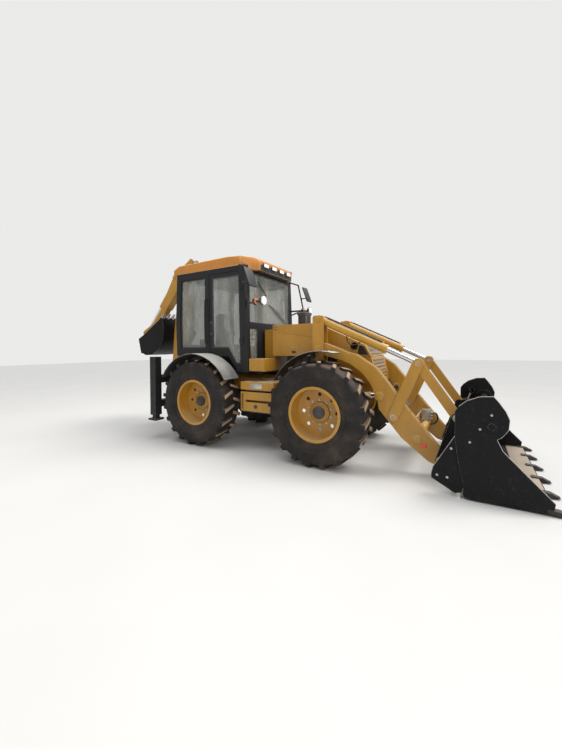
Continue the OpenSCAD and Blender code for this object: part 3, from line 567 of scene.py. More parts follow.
@dataclass(frozen=True)
class SeatCloth(Finish):
    """Woven seat cloth with a fine rib."""

    name: str = "seat_cloth"
    colour: Colour = (0.030, 0.031, 0.036)

    def cook(self, recipe: Recipe) -> None:
        """Fills the recipe with the cloth's nodes."""
        weave = recipe.node(
            "ShaderNodeTexWave",
            {},
            {"Vector": recipe.scaled((1.0, 1.0, 1.0)), "Scale": 160.0, "Distortion": 1.5},
        )
        threads = Ink(recipe, weave.outputs["Fac"])
        lint = recipe.noise(90.0, 5.0, 0.7)
        worn = recipe.noise(5.0, 4.0, 0.6).rise(0.4, 0.8)
        pale = (threads * 0.5 + worn * 0.4 + lint * 0.2).clamp()
        recipe.set(
            Base_Color=recipe.mix(pale, self.colour, (0.10, 0.10, 0.11)),
            Roughness=(0.82 + lint * 0.12).clamp(),
            Sheen_Weight=0.35,
            Sheen_Roughness=0.5,
        )
        recipe.bump(threads + lint * 0.5, 0.5, 0.0012)


@dataclass(frozen=True)
class MirrorGlass(Finish):
    """Silvered mirror with a dusty lower edge."""

    name: str = "mirror_glass"

    def cook(self, recipe: Recipe) -> None:
        """Fills the recipe with the mirror's nodes."""
        dirt = recipe.noise(16.0, 5.0, 0.6).rise(0.5, 0.85)
        recipe.set(
            Base_Color=recipe.mix(dirt * 0.5, (0.72, 0.75, 0.76), (0.35, 0.33, 0.30)),
            Metallic=(1.0 - dirt * 0.6).clamp(),
            Roughness=(0.04 + dirt * 0.35).clamp(),
        )
        recipe.bump(dirt, 0.1, 0.0004)


class Finishes(Enum):
    """The finishes by the place where they are used."""

    YELLOW = MachinePaint(
        "yellow_enamel",
        (0.500, 0.250, 0.024),
        (0.370, 0.175, 0.014),
        (0.56, 0.42, 0.23),
        dust=0.42,
        edge=0.70,
    )
    ORANGE = MachinePaint(
        "visor_orange",
        (0.58, 0.225, 0.028),
        (0.46, 0.170, 0.020),
        (0.66, 0.46, 0.30),
        edge=0.6,
        rough=0.4,
    )
    BLACK = MachinePaint(
        "cab_black",
        (0.016, 0.016, 0.017),
        (0.010, 0.010, 0.011),
        (0.24, 0.22, 0.19),
        dust=0.20,
        edge=0.5,
        rough=0.42,
        coat=0.04,
        gloss=0.3,
    )
    BUCKET = MachinePaint(
        "bucket_black",
        (0.0070, 0.0070, 0.0075),
        (0.0045, 0.0045, 0.005),
        (0.42, 0.39, 0.36),
        dust=0.035,
        # Strong edge share: the bucket's bright edge lines are partly wear and partly a painted highlight.
        edge=0.95,
        rough=0.40,
        coat=0.02,
        low=0.12,
        gloss=0.16,
    )
    RAM = MachinePaint(
        "ram_enamel",
        (0.520, 0.275, 0.030),
        (0.40, 0.200, 0.018),
        (0.66, 0.53, 0.34),
        dust=0.62,
        edge=0.7,
        rough=0.32,
        coat=0.25,
    )
    RUBBER = TreadRubber()
    PLASTIC = MouldedPlastic()
    FENDER = MouldedPlastic("fender_plastic", (0.018, 0.018, 0.019), (0.50, 0.48, 0.44), 0.95, 0.45)
    STEEL = BareSteel()
    EDGE_STEEL = BareSteel("edge_steel", (0.58, 0.55, 0.51), (0.05, 0.045, 0.04), 0.3, 0.45)
    DUSTY_EDGE = BareSteel("dusty_edge", (0.52, 0.44, 0.35), (0.38, 0.31, 0.235), 0.6, 1.0)
    TOOTH = BareSteel("tooth_iron", (0.055, 0.052, 0.050), (0.24, 0.20, 0.16), 0.5, 0.35)
    MESH = BareSteel("grille_mesh", (0.50, 0.47, 0.43), (0.24, 0.21, 0.17), 0.5, 0.7)
    CHROME = RodChrome()
    GLASS = CabGlass()
    WHITE_LENS = LampLens("white_lens", (0.86, 0.86, 0.83), 0.35)
    AMBER_LENS = LampLens("amber_lens", (0.75, 0.24, 0.05), 0.12)
    RED_LENS = LampLens("red_lens", (0.62, 0.045, 0.02), 0.12)
    IRON = CastIron()
    HOSE = HoseRubber()
    CLOTH = SeatCloth()
    MIRROR = MirrorGlass()


# Mesh tools


class Sheet:
    """A bmesh in the making, which ends as one named piece."""

    def __init__(self) -> None:
        """Starts empty."""
        self.bm = bmesh.new()
        self.worn = self.bm.faces.layers.float.new("edge")

    def round_edges(self, edges: Iterable[bmesh.types.BMEdge], width: float, segments: int = 2) -> None:
        """Rounds edges and marks the narrow new faces for edge wear and a painted highlight.

        Args:
            edges: The edges.
            width: Width of the rounding; nothing is done at 0.
            segments: Faces across the rounding.
        """
        if width <= 0:
            return
        made = bmesh.ops.bevel(
            self.bm,
            geom=list(edges),
            offset=width,
            affect="EDGES",
            segments=segments,
            profile=0.5,
            material=-1,
            clamp_overlap=True,
        )
        # Marked faces later take worn, pale edge colour that also serves as a painted highlight.
        for face in made["faces"]:
            face[self.worn] = 1.0

    def _since(self, count: int) -> Verts:
        """The vertices made after the first count ones."""
        self.bm.verts.ensure_lookup_table()
        return [self.bm.verts[i] for i in range(count, len(self.bm.verts))]

    def place(self, verts: Iterable[bmesh.types.BMVert], matrix: Matrix) -> None:
        """Moves vertices by a matrix."""
        bmesh.ops.transform(self.bm, matrix=matrix, verts=list(verts))

    def box(self, low: Sequence[float], high: Sequence[float], bevel: float = 0.0) -> Verts:
        """Adds a box between two corners.

        Args:
            low: Lowest corner.
            high: Highest corner.
            bevel: Width of its rounded edges.

        Returns:
            Its vertices.
        """
        count = len(self.bm.verts)
        size = Vector(high) - Vector(low)
        middle = at(*((Vector(low) + Vector(high)) / 2))
        made = bmesh.ops.create_cube(self.bm, size=1.0)["verts"]
        self.place(made, Matrix.Translation(middle) @ Matrix.Diagonal((*size, 1.0)))
        self.round_edges({e for v in made for e in v.link_edges}, bevel)
        return self._since(count)

    def rod(
        self,
        start: Sequence[float],
        end: Sequence[float],
        radius: float,
        sides: int = 24,
        end_radius: float | None = None,
    ) -> Verts:
        """Adds a cylinder or cone between two points.

        Args:
            start: Middle of the first end.
            end: Middle of the other end.
            radius: Radius at the start.
            sides: Number of sides.
            end_radius: Radius at the end, if it differs.

        Returns:
            Its vertices.
        """
        a, b = at(*start), at(*end)
        way = b - a
        turn = Vector((0, 0, 1)).rotation_difference(way).to_matrix().to_4x4()
        return bmesh.ops.create_cone(
            self.bm,
            cap_ends=True,
            segments=sides,
            radius1=radius,
            radius2=radius if end_radius is None else end_radius,
            depth=way.length,
            matrix=Matrix.Translation((a + b) / 2) @ turn,
        )["verts"]

    def plate(self, outline: Sequence[SidePoint], y: tuple[float, float], bevel: float = 0.0) -> Verts:
        """Adds a plate from its side outline.

        Args:
            outline: Corners as (x, z), counted from the front axle.
            y: Its two faces.
            bevel: Width of its rounded edges.

        Returns:
            Its vertices.
        """
        count = len(self.bm.verts)
        corners = [self.bm.verts.new(at(x, y[0], z)) for x, z in outline]
        face = self.bm.faces.new(corners)
        grown = bmesh.ops.extrude_face_region(self.bm, geom=[face])["geom"]
        moved = [v for v in grown if isinstance(v, bmesh.types.BMVert)]
        bmesh.ops.translate(self.bm, vec=(0, y[1] - y[0], 0), verts=moved)
        made = self._since(count)
        faces = list({f for v in made for f in v.link_faces})
        bmesh.ops.recalc_face_normals(self.bm, faces=faces)
        self.round_edges({e for v in made for e in v.link_edges}, bevel)
        return self._since(count)

    def lathe(self, profile: Sequence[tuple[float, float]], centre: Point, steps: int = 64) -> Verts:
        """Spins a closed profile about the Y axis.

        Args:
            profile: Corners as (radius, y), y counted from the centre.
            centre: A point on the axis.
            steps: Steps of the full turn.

        Returns:
            Its vertices.
        """
        count = len(self.bm.verts)
        centre = at(*centre)
        ring = [self.bm.verts.new(centre + Vector((0, y, r))) for r, y in profile]
        edges = [self.bm.edges.new((ring[i], ring[(i + 1) % len(ring)])) for i in range(len(ring))]
        turn = {"cent": centre, "axis": (0, 1, 0), "angle": math.tau}
        bmesh.ops.spin(self.bm, geom=ring + edges, steps=steps, use_merge=True, **turn)
        made = self._since(count)
        bmesh.ops.remove_doubles(self.bm, verts=made, dist=1e-5)
        made = self._since(count)
        bmesh.ops.recalc_face_normals(self.bm, faces=list({f for v in made for f in v.link_faces}))
        return made

    def bolt(self, place: Sequence[float], way: Sequence[float], size: float) -> None:
        """Adds a hexagon bolt head on its washer.

        Args:
            place: Middle of the washer's seat.
            way: Direction in which the head stands out.
            size: Radius of the head.
        """
        seat, out = Vector(place), Vector(way).normalized()
        self.rod(seat - out * 0.001, seat + out * size * 0.28, size * 1.35, 16)
        self.rod(seat, seat + out * size, size, 6, size * 0.94)

    def pin_cap(self, place: SidePoint, y: float, way: float, radius: float, bolts: int = 2) -> None:
        """Adds a stepped pin cap with its bolts and grease nipple.

        Args:
            place: Side-view point of the pin's middle.
            y: Face on which the cap sits.
            way: 1 to stand out along +Y, -1 along -Y.
            radius: Radius of the cap.
            bolts: Number of bolts round its rim.
        """
        x, z = place
        rim = self.rod((x, y, z), (x, y + way * 0.007, z), radius, 32)
        edges = {e for v in rim for e in v.link_edges}
        self.round_edges({e for e in edges if len(e.link_faces) == 2 and e.calc_face_angle(0.0) > 1.2}, 0.002)
        self.rod((x, y, z), (x, y + way * 0.011, z), radius * 0.45, 20, radius * 0.40)
        for i in range(bolts):
            a = math.tau * i / bolts + 0.6
            spot = (x + radius * 0.7 * math.cos(a), y + way * 0.006, z + radius * 0.7 * math.sin(a))
            self.bolt(spot, (0, way, 0), radius * 0.13)

    def bead(self, way: Sequence[SidePoint], y: float, radius: float) -> None:
        """Lays a round bead along a way.

        Args:
            way: Corners of the way as (x, z).
            y: Plane in which it lies.
            radius: Radius of the bead.
        """
        for (x0, z0), (x1, z1) in zip(way, way[1:]):
            self.rod((x0, y, z0), (x1, y, z1), radius, 8)

    def mirrored(self) -> None:
        """Adds the mirror image of all on the other side of the middle."""
        whole = [*self.bm.verts, *self.bm.edges, *self.bm.faces]
        made = bmesh.ops.duplicate(self.bm, geom=whole)["geom"]
        verts = [v for v in made if isinstance(v, bmesh.types.BMVert)]
        bmesh.ops.scale(self.bm, vec=(1, -1, 1), verts=verts)
        bmesh.ops.reverse_faces(self.bm, faces=[f for f in made if isinstance(f, bmesh.types.BMFace)])

    def crisp(self, angle: float = 30.0) -> None:
        """Smooths the faces and keeps the edges sharper than an angle in degrees."""
        limit = math.radians(angle)
        for face in self.bm.faces:
            face.smooth = True
        for edge in self.bm.edges:
            edge.smooth = len(edge.link_faces) == 2 and edge.calc_face_angle(0.0) < limit

    def finish(
        self,
        name: str,
        body: str,
        finish: Finishes,
        slot: str | None = None,
        stands_for: Sequence[str] = (),
        angle: float = 30.0,
    ) -> bpy.types.Object:
        """Ends the mesh as a piece of the machine.

        Args:
            name: Name of the piece.
            body: Body it moves with.
            finish: Its finish.
            slot: Material slot of the record it belongs to; not used.
            stands_for: CAD nodes that it replaces.
            angle: Edges sharper than this stay sharp.

        Returns:
            The object.
        """
        self.crisp(angle)
        mesh = bpy.data.meshes.new(name)
        self.bm.to_mesh(mesh)
        self.bm.free()
        piece = bpy.data.objects.new(name, mesh)
        bpy.context.scene.collection.objects.link(piece)
        mesh.materials.append(finish.value.material())
        settle(piece, body, stands_for)
        return piece


def span(a: float, b: float) -> tuple[float, float]:
    """Two numbers in rising order."""
    return (min(a, b), max(a, b))


def settle(
    piece: bpy.types.Object, body: str, stands_for: Sequence[str] = ()
) -> None:
    """Puts a finished piece on its body.

    Args:
        piece: The object.
        body: Body it moves with.
        stands_for: CAD nodes that it replaces.
    """
    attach(piece, body)
    if stands_for:
        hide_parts(*stands_for)
    LOG.info("%s: %d faces on %s", piece.name, len(getattr(piece.data, "polygons", ())), body)


def pipe(
    name: str, body: str, points: Sequence[Point], radius: float, finish: Finishes, sides: int = 10
) -> bpy.types.Object:
    """Makes a bent tube along a smooth way as a mesh.

    Args:
        name: Name of the piece.
        body: Body it moves with.
        points: Points it passes through.
        radius: Its radius.
        finish: Its finish.
        sides: Sides of its section.

    Returns:
        The object.
    """
    way = smooth_way([at(*p) for p in points], 6)
    sheet = Sheet()
    ring: Verts = []
    for i, point in enumerate(way):
        ahead = (way[min(i + 1, len(way) - 1)] - way[max(i - 1, 0)]).normalized()
        turn = Vector((0, 0, 1)).rotation_difference(ahead).to_matrix().to_4x4()
        made = bmesh.ops.create_circle(
            sheet.bm, cap_ends=False, radius=radius, segments=sides, matrix=Matrix.Translation(point) @ turn
        )["verts"]
        loop = [e for v in made for e in v.link_edges]
        if ring:
            old = list({e for v in ring for e in v.link_edges if all(w in ring for w in e.verts)})
            bmesh.ops.bridge_loops(sheet.bm, edges=old + list(set(loop)))
        ring = made
    ends = [e for e in sheet.bm.edges if len(e.link_faces) == 1]
    bmesh.ops.holes_fill(sheet.bm, edges=ends, sides=sides)
    bmesh.ops.recalc_face_normals(sheet.bm, faces=sheet.bm.faces)
    return sheet.finish(name, body, finish, angle=50.0)


def smooth_way(points: Sequence[Vector], steps: int) -> list[Vector]:
    """Catmull-Rom way through points.

    Args:
        points: Points it passes through.
        steps: Steps between two points.

    Returns:
        The points of the way.
    """
    pts = [Vector(p) for p in points]
    pts = [2 * pts[0] - pts[1], *pts, 2 * pts[-1] - pts[-2]]
    way = []
    for i in range(1, len(pts) - 2):
        a, b, c, d = pts[i - 1 : i + 3]
        for k in range(steps):
            t = k / steps
            way.append(
                0.5
                * (
                    2 * b
                    + (c - a) * t
                    + (2 * a - 5 * b + 4 * c - d) * t * t
                    + (3 * b - a - 3 * c + d) * t * t * t
                )
            )
    way.append(pts[-2])
    return way


# Studio


@dataclass
class Studio:
    """Camera, soft light and floor."""

    camera_place: Point = (2.91186, -5.10437, 1.62049)
    yaw: float = 2.096102921
    pitch: float = 0.012295976
    roll: float = -0.008367349
    lens: float = 15.680
    shift_y: float = -0.0300
    ambient: float = 0.55
    sun: float = 2.3
    floor_half: float = 40.0
    sensor: float = 36.0
    reach: float = 200.0

    def camera(self) -> None:
        """Sets the camera to the photograph's view."""
        cp, sp = math.cos(self.pitch), math.sin(self.pitch)
        ahead = Vector((math.cos(self.yaw) * cp, math.sin(self.yaw) * cp, -sp))
        right = ahead.cross(Vector((0, 0, 1))).normalized()
        up = right.cross(ahead)
        cr, sr = math.cos(self.roll), math.sin(self.roll)
        side, top = right * cr + up * sr, up * cr - right * sr
        data = bpy.data.cameras.new("photo_camera")
        data.lens = self.lens
        data.sensor_width = self.sensor
        data.sensor_fit = "AUTO"
        data.shift_y = self.shift_y
        data.clip_end = self.reach
        camera = bpy.data.objects.new("photo_camera", data)
        matrix = Matrix((side, top, -ahead)).transposed().to_4x4()
        matrix.translation = Vector(self.camera_place)
        camera.matrix_world = matrix
        bpy.context.scene.collection.objects.link(camera)
        bpy.context.scene.camera = camera

    def lights(self) -> None:
        """Adds a soft sun and two soft boxes that give bright edges and reflections."""
        sun = bpy.data.lights.new("soft_sun", "SUN")
        sun.energy = self.sun
        sun.angle = math.radians(35)
        sun.color = (1.0, 0.985, 0.96)
        self._hang(sun, (4.5, 3.0, 9.0), (0.0, 0.0, 1.0))
        for name, place, size, power in (
            ("box_front", (7.5, -6.5, 5.5), 5.0, 190.0),
            ("box_top", (-1.0, -1.0, 9.0), 7.0, 420.0),
        ):
            light = bpy.data.lights.new(name, "AREA")
            light.shape = "SQUARE"
            light.size = size
            light.energy = power
            self._hang(light, place, (0.3, 0.0, 1.0))

    def _hang(self, light: bpy.types.Light, place: Point, aim: Point) -> None:
        """Puts a light at a place, aimed at a point."""
        lamp = bpy.data.objects.new(light.name, light)
        lamp.location = place
        lamp.rotation_euler = (Vector(aim) - Vector(place)).to_track_quat("-Z", "Y").to_euler()
        bpy.context.scene.collection.objects.link(lamp)

    def backdrop(self) -> None:
        """Makes the pale background and the floor."""
        world = bpy.data.worlds.new("pale_studio")
        bpy.context.scene.world = world
        world.use_nodes = True
        tree = world.node_tree
        tree.nodes.clear()
        out = tree.nodes.new("ShaderNodeOutputWorld")
        path = tree.nodes.new("ShaderNodeLightPath")
        mix = tree.nodes.new("ShaderNodeMixShader")
        seen = tree.nodes.new("ShaderNodeBackground")
        lit = tree.nodes.new("ShaderNodeBackground")
        seen.inputs["Color"].default_value = (0.83, 0.83, 0.82, 1.0)
        seen.inputs["Strength"].default_value = 1.0
        lit.inputs["Color"].default_value = (0.93, 0.96, 1.0, 1.0)
        lit.inputs["Strength"].default_value = self.ambient
        tree.links.new(path.outputs["Is Camera Ray"], mix.inputs[0])
        tree.links.new(lit.outputs[0], mix.inputs[1])
        tree.links.new(seen.outputs[0], mix.inputs[2])
        tree.links.new(mix.outputs[0], out.inputs["Surface"])
        sheet = Sheet()
        half = self.floor_half
        sheet.box((-half, -half, -0.05), (half, half, 0.0))
        sheet.crisp()
        mesh = bpy.data.meshes.new("floor")
        sheet.bm.to_mesh(mesh)
        sheet.bm.free()
        floor = bpy.data.objects.new("floor", mesh)
        recipe = Recipe("pale_floor")
        tone = recipe.noise(0.7, 4.0, 0.5)
        recipe.set(Base_Color=recipe.mix(tone, (0.60, 0.59, 0.57), (0.66, 0.65, 0.63)), Roughness=0.75)
        mesh.materials.append(recipe.material)
        bpy.context.scene.collection.objects.link(floor)

    def build(self) -> None:
        """Builds the studio."""
        self.camera()
        self.lights()
        self.backdrop()


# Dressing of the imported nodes


@dataclass
class Coats:
    """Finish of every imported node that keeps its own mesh, and rounded copies of the others."""

    nodes: dict[str, bpy.types.Object]
    bodies: dict[str, str]
    plain: dict[Finishes, tuple[str, ...]] = field(
        default_factory=lambda: {
            Finishes.IRON: ("engine", "axles", "knuckle_fl", "knuckle_fr", "knuckle_rl", "knuckle_rr"),
            Finishes.GLASS: ("cab_glass", "door_left_glass", "door_right_glass"),
            Finishes.PLASTIC: ("controls",),
            Finishes.STEEL: ("lever_pins", "link_pins", "bucket_pins"),
            Finishes.CHROME: (
                *("lift_rods", "tilt_rods", "clam_rods", "swing_rod_left", "swing_rod_right"),
                *("boom_rod", "dipper_rod", "dig_rod"),
            ),
        }
    )
    rounded: dict[Finishes, tuple[str, ...]] = field(
        default_factory=lambda: {
            Finishes.YELLOW: (
                *("chassis", "bodywork", "hood", "loader_arms", "levers", "links"),
                *("rim_fl", "rim_fr", "rim_rl", "rim_rr"),
                *("carriage", "swing_post", "boom", "dipper", "hoe_rocker", "hoe_link"),
            ),
            Finishes.RAM: (
                *("lift_barrels", "tilt_barrels", "clam_barrels"),
                *("boom_barrel", "dipper_barrel", "dig_barrel"),
            ),
            Finishes.ORANGE: ("roof",),
            Finishes.BLACK: (
                *("cab_frame", "door_left", "door_right"),
                *("rear_frame", "stabiliser_left", "stabiliser_right"),
            ),
            Finishes.FENDER: ("mudguards",),
            Finishes.BUCKET: ("bucket", "bucket_jaw", "hoe_bucket"),
        }
    )
    widths: dict[str, float] = field(
        default_factory=lambda: {"roof": 0.012, "hood": 0.006, "mudguards": 0.003, "loader_arms": 0.004}
    )
    width: float = 0.0025
    sharp: float = 33.0
    flat: float = 0.8

    def round_copy(self, name: str, finish: Finishes) -> None:
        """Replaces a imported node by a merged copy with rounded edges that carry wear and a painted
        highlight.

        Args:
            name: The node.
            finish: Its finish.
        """
        source = self.nodes[name]
        sheet = Sheet()
        sheet.bm.from_mesh(source.data)
        sheet.worn = sheet.bm.faces.layers.float.get("edge") or sheet.bm.faces.layers.float.new("edge")
        bm = sheet.bm
        bmesh.ops.remove_doubles(bm, verts=bm.verts, dist=2e-5)
        bmesh.ops.dissolve_limit(bm, angle_limit=math.radians(self.flat), verts=bm.verts, edges=bm.edges)
        limit = math.radians(self.sharp)
        edges = [e for e in bm.edges if len(e.link_faces) == 2 and e.calc_face_angle_signed(0.0) > limit]
        sheet.round_edges(edges, self.widths.get(name, self.width), 1)
        sheet.finish(f"{name}_coat", self.bodies[name], finish, None, (name,), 40.0)

    def build(self) -> None:
        """Dresses every node."""
        for finish, names in self.plain.items():
            for name in names:
                for slot in self.nodes[name].material_slots:
                    slot.material = finish.value.material()
        for finish, names in self.rounded.items():
            for name in names:
                self.round_copy(name, finish)


# Wheels


@dataclass
class Wheels:
    """Tyres with their lugs, hubs and wheel nuts."""

    wheel_y: float = 0.94
    radius: float = AXLE_Z
    width: float = 0.43
    rim_radius: float = 0.3555
    bead: float = 0.170
    lug_height: float = 0.034
    lug_count: int = 20
    shoulder: float = 0.05
    hub_bolts: int = 6
    hub_bolt_ring: float = 0.070
    nuts: int = 10
    nut_ring: float = 0.172

    def spots(self) -> list[tuple[str, str, float, int]]:
        """Node ending, body, place along the machine and side of each wheel."""
        return [
            ("fl", "wheel_front_left", 0.0, 1),
            ("fr", "wheel_front_right", 0.0, -1),
            ("rl", "wheel_rear_left", -WHEELBASE, 1),
            ("rr", "wheel_rear_right", -WHEELBASE, -1),
        ]

    def carcass(self, sheet: Sheet, centre: Point) -> None:
        """Spins the tyre's body with rounded shoulders and rim bead."""
        half, tread = self.width / 2, self.radius - self.lug_height
        rim, bead = self.rim_radius + 0.0003, self.bead
        side = [
            (rim, bead),
            (rim + 0.028, bead + 0.002),
            (rim + 0.034, bead + 0.012),
            (self.radius * 0.64, half - 0.020),
            (self.radius * 0.70, half - 0.006),
            (self.radius * 0.79, half),
            (self.radius * 0.86, half - 0.006),
            (tread - 0.040, half - 0.010),
            (tread - 0.014, half - 0.026),
            (tread - 0.004, half - 0.060),
            (tread, half - 0.110),
        ]
        profile = side + [(r, -y) for r, y in reversed(side)]
        sheet.lathe(profile, centre, 80)

    def lug(self, sheet: Sheet, centre: Point, angle: float, side: int) -> None:
        """Adds one chunky lug from the tread's middle out to its shoulder.

        Args:
            sheet: Mesh that takes the lug.
            centre: Middle of the wheel.
            angle: Place round the wheel.
            side: 1 for the left shoulder, -1 for the right one.
        """
        half, tread = self.width / 2, self.radius - self.lug_height
        stations = (
            (-0.008, -0.037, 0.024, 0.028),
            (0.070, -0.012, 0.026, 0.029),
            (0.140, 0.014, 0.028, 0.033),
            (half - 0.012, 0.038, 0.030, 0.038),
        )
        rings = []
        for axial, along, top, foot in stations:
            outer = axial > half - self.shoulder
            out = self.radius - (0.004 if outer else 0.0)
            base = tread - (0.050 if outer else 0.012)
            lean = 0.006 if outer else 0.0
            ring = []
            for radius, shift, lean_y in (
                (base, -foot, lean),
                (out, -top, 0.0),
                (out, top, 0.0),
                (base, foot, lean),
            ):
                turn = angle + (along + shift) / self.radius
                point = Vector((radius * math.sin(turn), side * (axial + lean_y), radius * math.cos(turn)))
                ring.append(sheet.bm.verts.new(at(*centre) + point))
            rings.append(ring)
        faces = []
        tops = []
        for first, second in zip(rings, rings[1:]):
            for i in range(4):
                j = (i + 1) % 4
                face = sheet.bm.faces.new((first[i], first[j], second[j], second[i]))
                faces.append(face)
                if i == 1:
                    tops.append(face)
        faces.append(sheet.bm.faces.new(rings[0]))
        faces.append(sheet.bm.faces.new(rings[-1]))
        bmesh.ops.recalc_face_normals(sheet.bm, faces=faces)
        lug_layer = sheet.bm.faces.layers.float.get("lug")
        for face in tops:
            face[lug_layer] = 1.0
        rim = {e for face in tops for e in face.edges if e.calc_face_angle(0.0) > 0.9}
        sheet.round_edges(rim, 0.004, 1)

    def tyre(self, ending: str, body: str, x: float, side: int) -> None:
        """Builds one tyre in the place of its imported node."""
        centre = (x, side * self.wheel_y, self.radius)
        sheet = Sheet()
        sheet.bm.faces.layers.float.new("lug")
        sheet.worn = sheet.bm.faces.layers.float.get("edge")
        self.carcass(sheet, centre)
        for i in range(self.lug_count):
            for half in (1, -1):
                angle = (i + half * side / 4) * math.tau / self.lug_count
                self.lug(sheet, centre, angle, half)
        for ring in (0.60, 0.665):
            r = self.radius * ring + 0.02
            y = self.width / 2 - (0.013 if ring < 0.65 else 0.004)
            for s in (1, -1):
                ridge = [(r, s * (y - 0.004)), (r + 0.004, s * y), (r + 0.008, s * (y - 0.004))]
                sheet.lathe(ridge, centre, 80)
        stands_for = (f"tyre_{ending}",)
        sheet.finish(f"tyre_tread_{ending}", body, Finishes.RUBBER, stands_for=stands_for, angle=45.0)

    def hub(self, ending: str, body: str, x: float, side: int) -> None:
        """Builds the stepped hub with its bolts, the wheel nuts and the valve."""
        y = side * (self.wheel_y - 0.006)
        z = self.radius
        sheet = Sheet()
        steps = [(0.0, -0.002), (0.088, -0.002), (0.088, 0.020), (0.080, 0.030)]
        steps += [(0.060, 0.034), (0.055, 0.046), (0.040, 0.052), (0.0, 0.052)]
        sheet.lathe([(r, side * dy) for r, dy in steps], (x, y, z), 40)
        ring = self.hub_bolt_ring
        for i in range(self.hub_bolts):
            a = math.tau * i / self.hub_bolts
            spot = (x + ring * math.cos(a), y + side * 0.027, z + ring * math.sin(a))
            sheet.bolt(spot, (0, side, 0), 0.007)
        sheet.finish(f"hub_{ending}", body, Finishes.PLASTIC, "black_paint")
        nuts = Sheet()
        for i in range(self.nuts):
            a = math.tau * (i + 0.5) / self.nuts
            base = side * (self.wheel_y - 0.050)
            spot = Vector((x + self.nut_ring * math.cos(a), base, z + self.nut_ring * math.sin(a)))
            nuts.bolt(spot, (0, side, 0), 0.014)
            nuts.rod(spot, spot + Vector((0, side * 0.024, 0)), 0.0075, 10)
        valve_foot = (x + 0.30, side * (self.wheel_y - 0.052), z)
        nuts.rod(valve_foot, (x + 0.322, side * (self.wheel_y + 0.005), z), 0.005, 8)
        nuts.finish(f"wheel_nuts_{ending}", body, Finishes.STEEL, "steel")

    def build(self) -> None:
        """Builds the four wheels."""
        for spot in self.spots():
            self.tyre(*spot)
            self.hub(*spot)


# Hood and nose


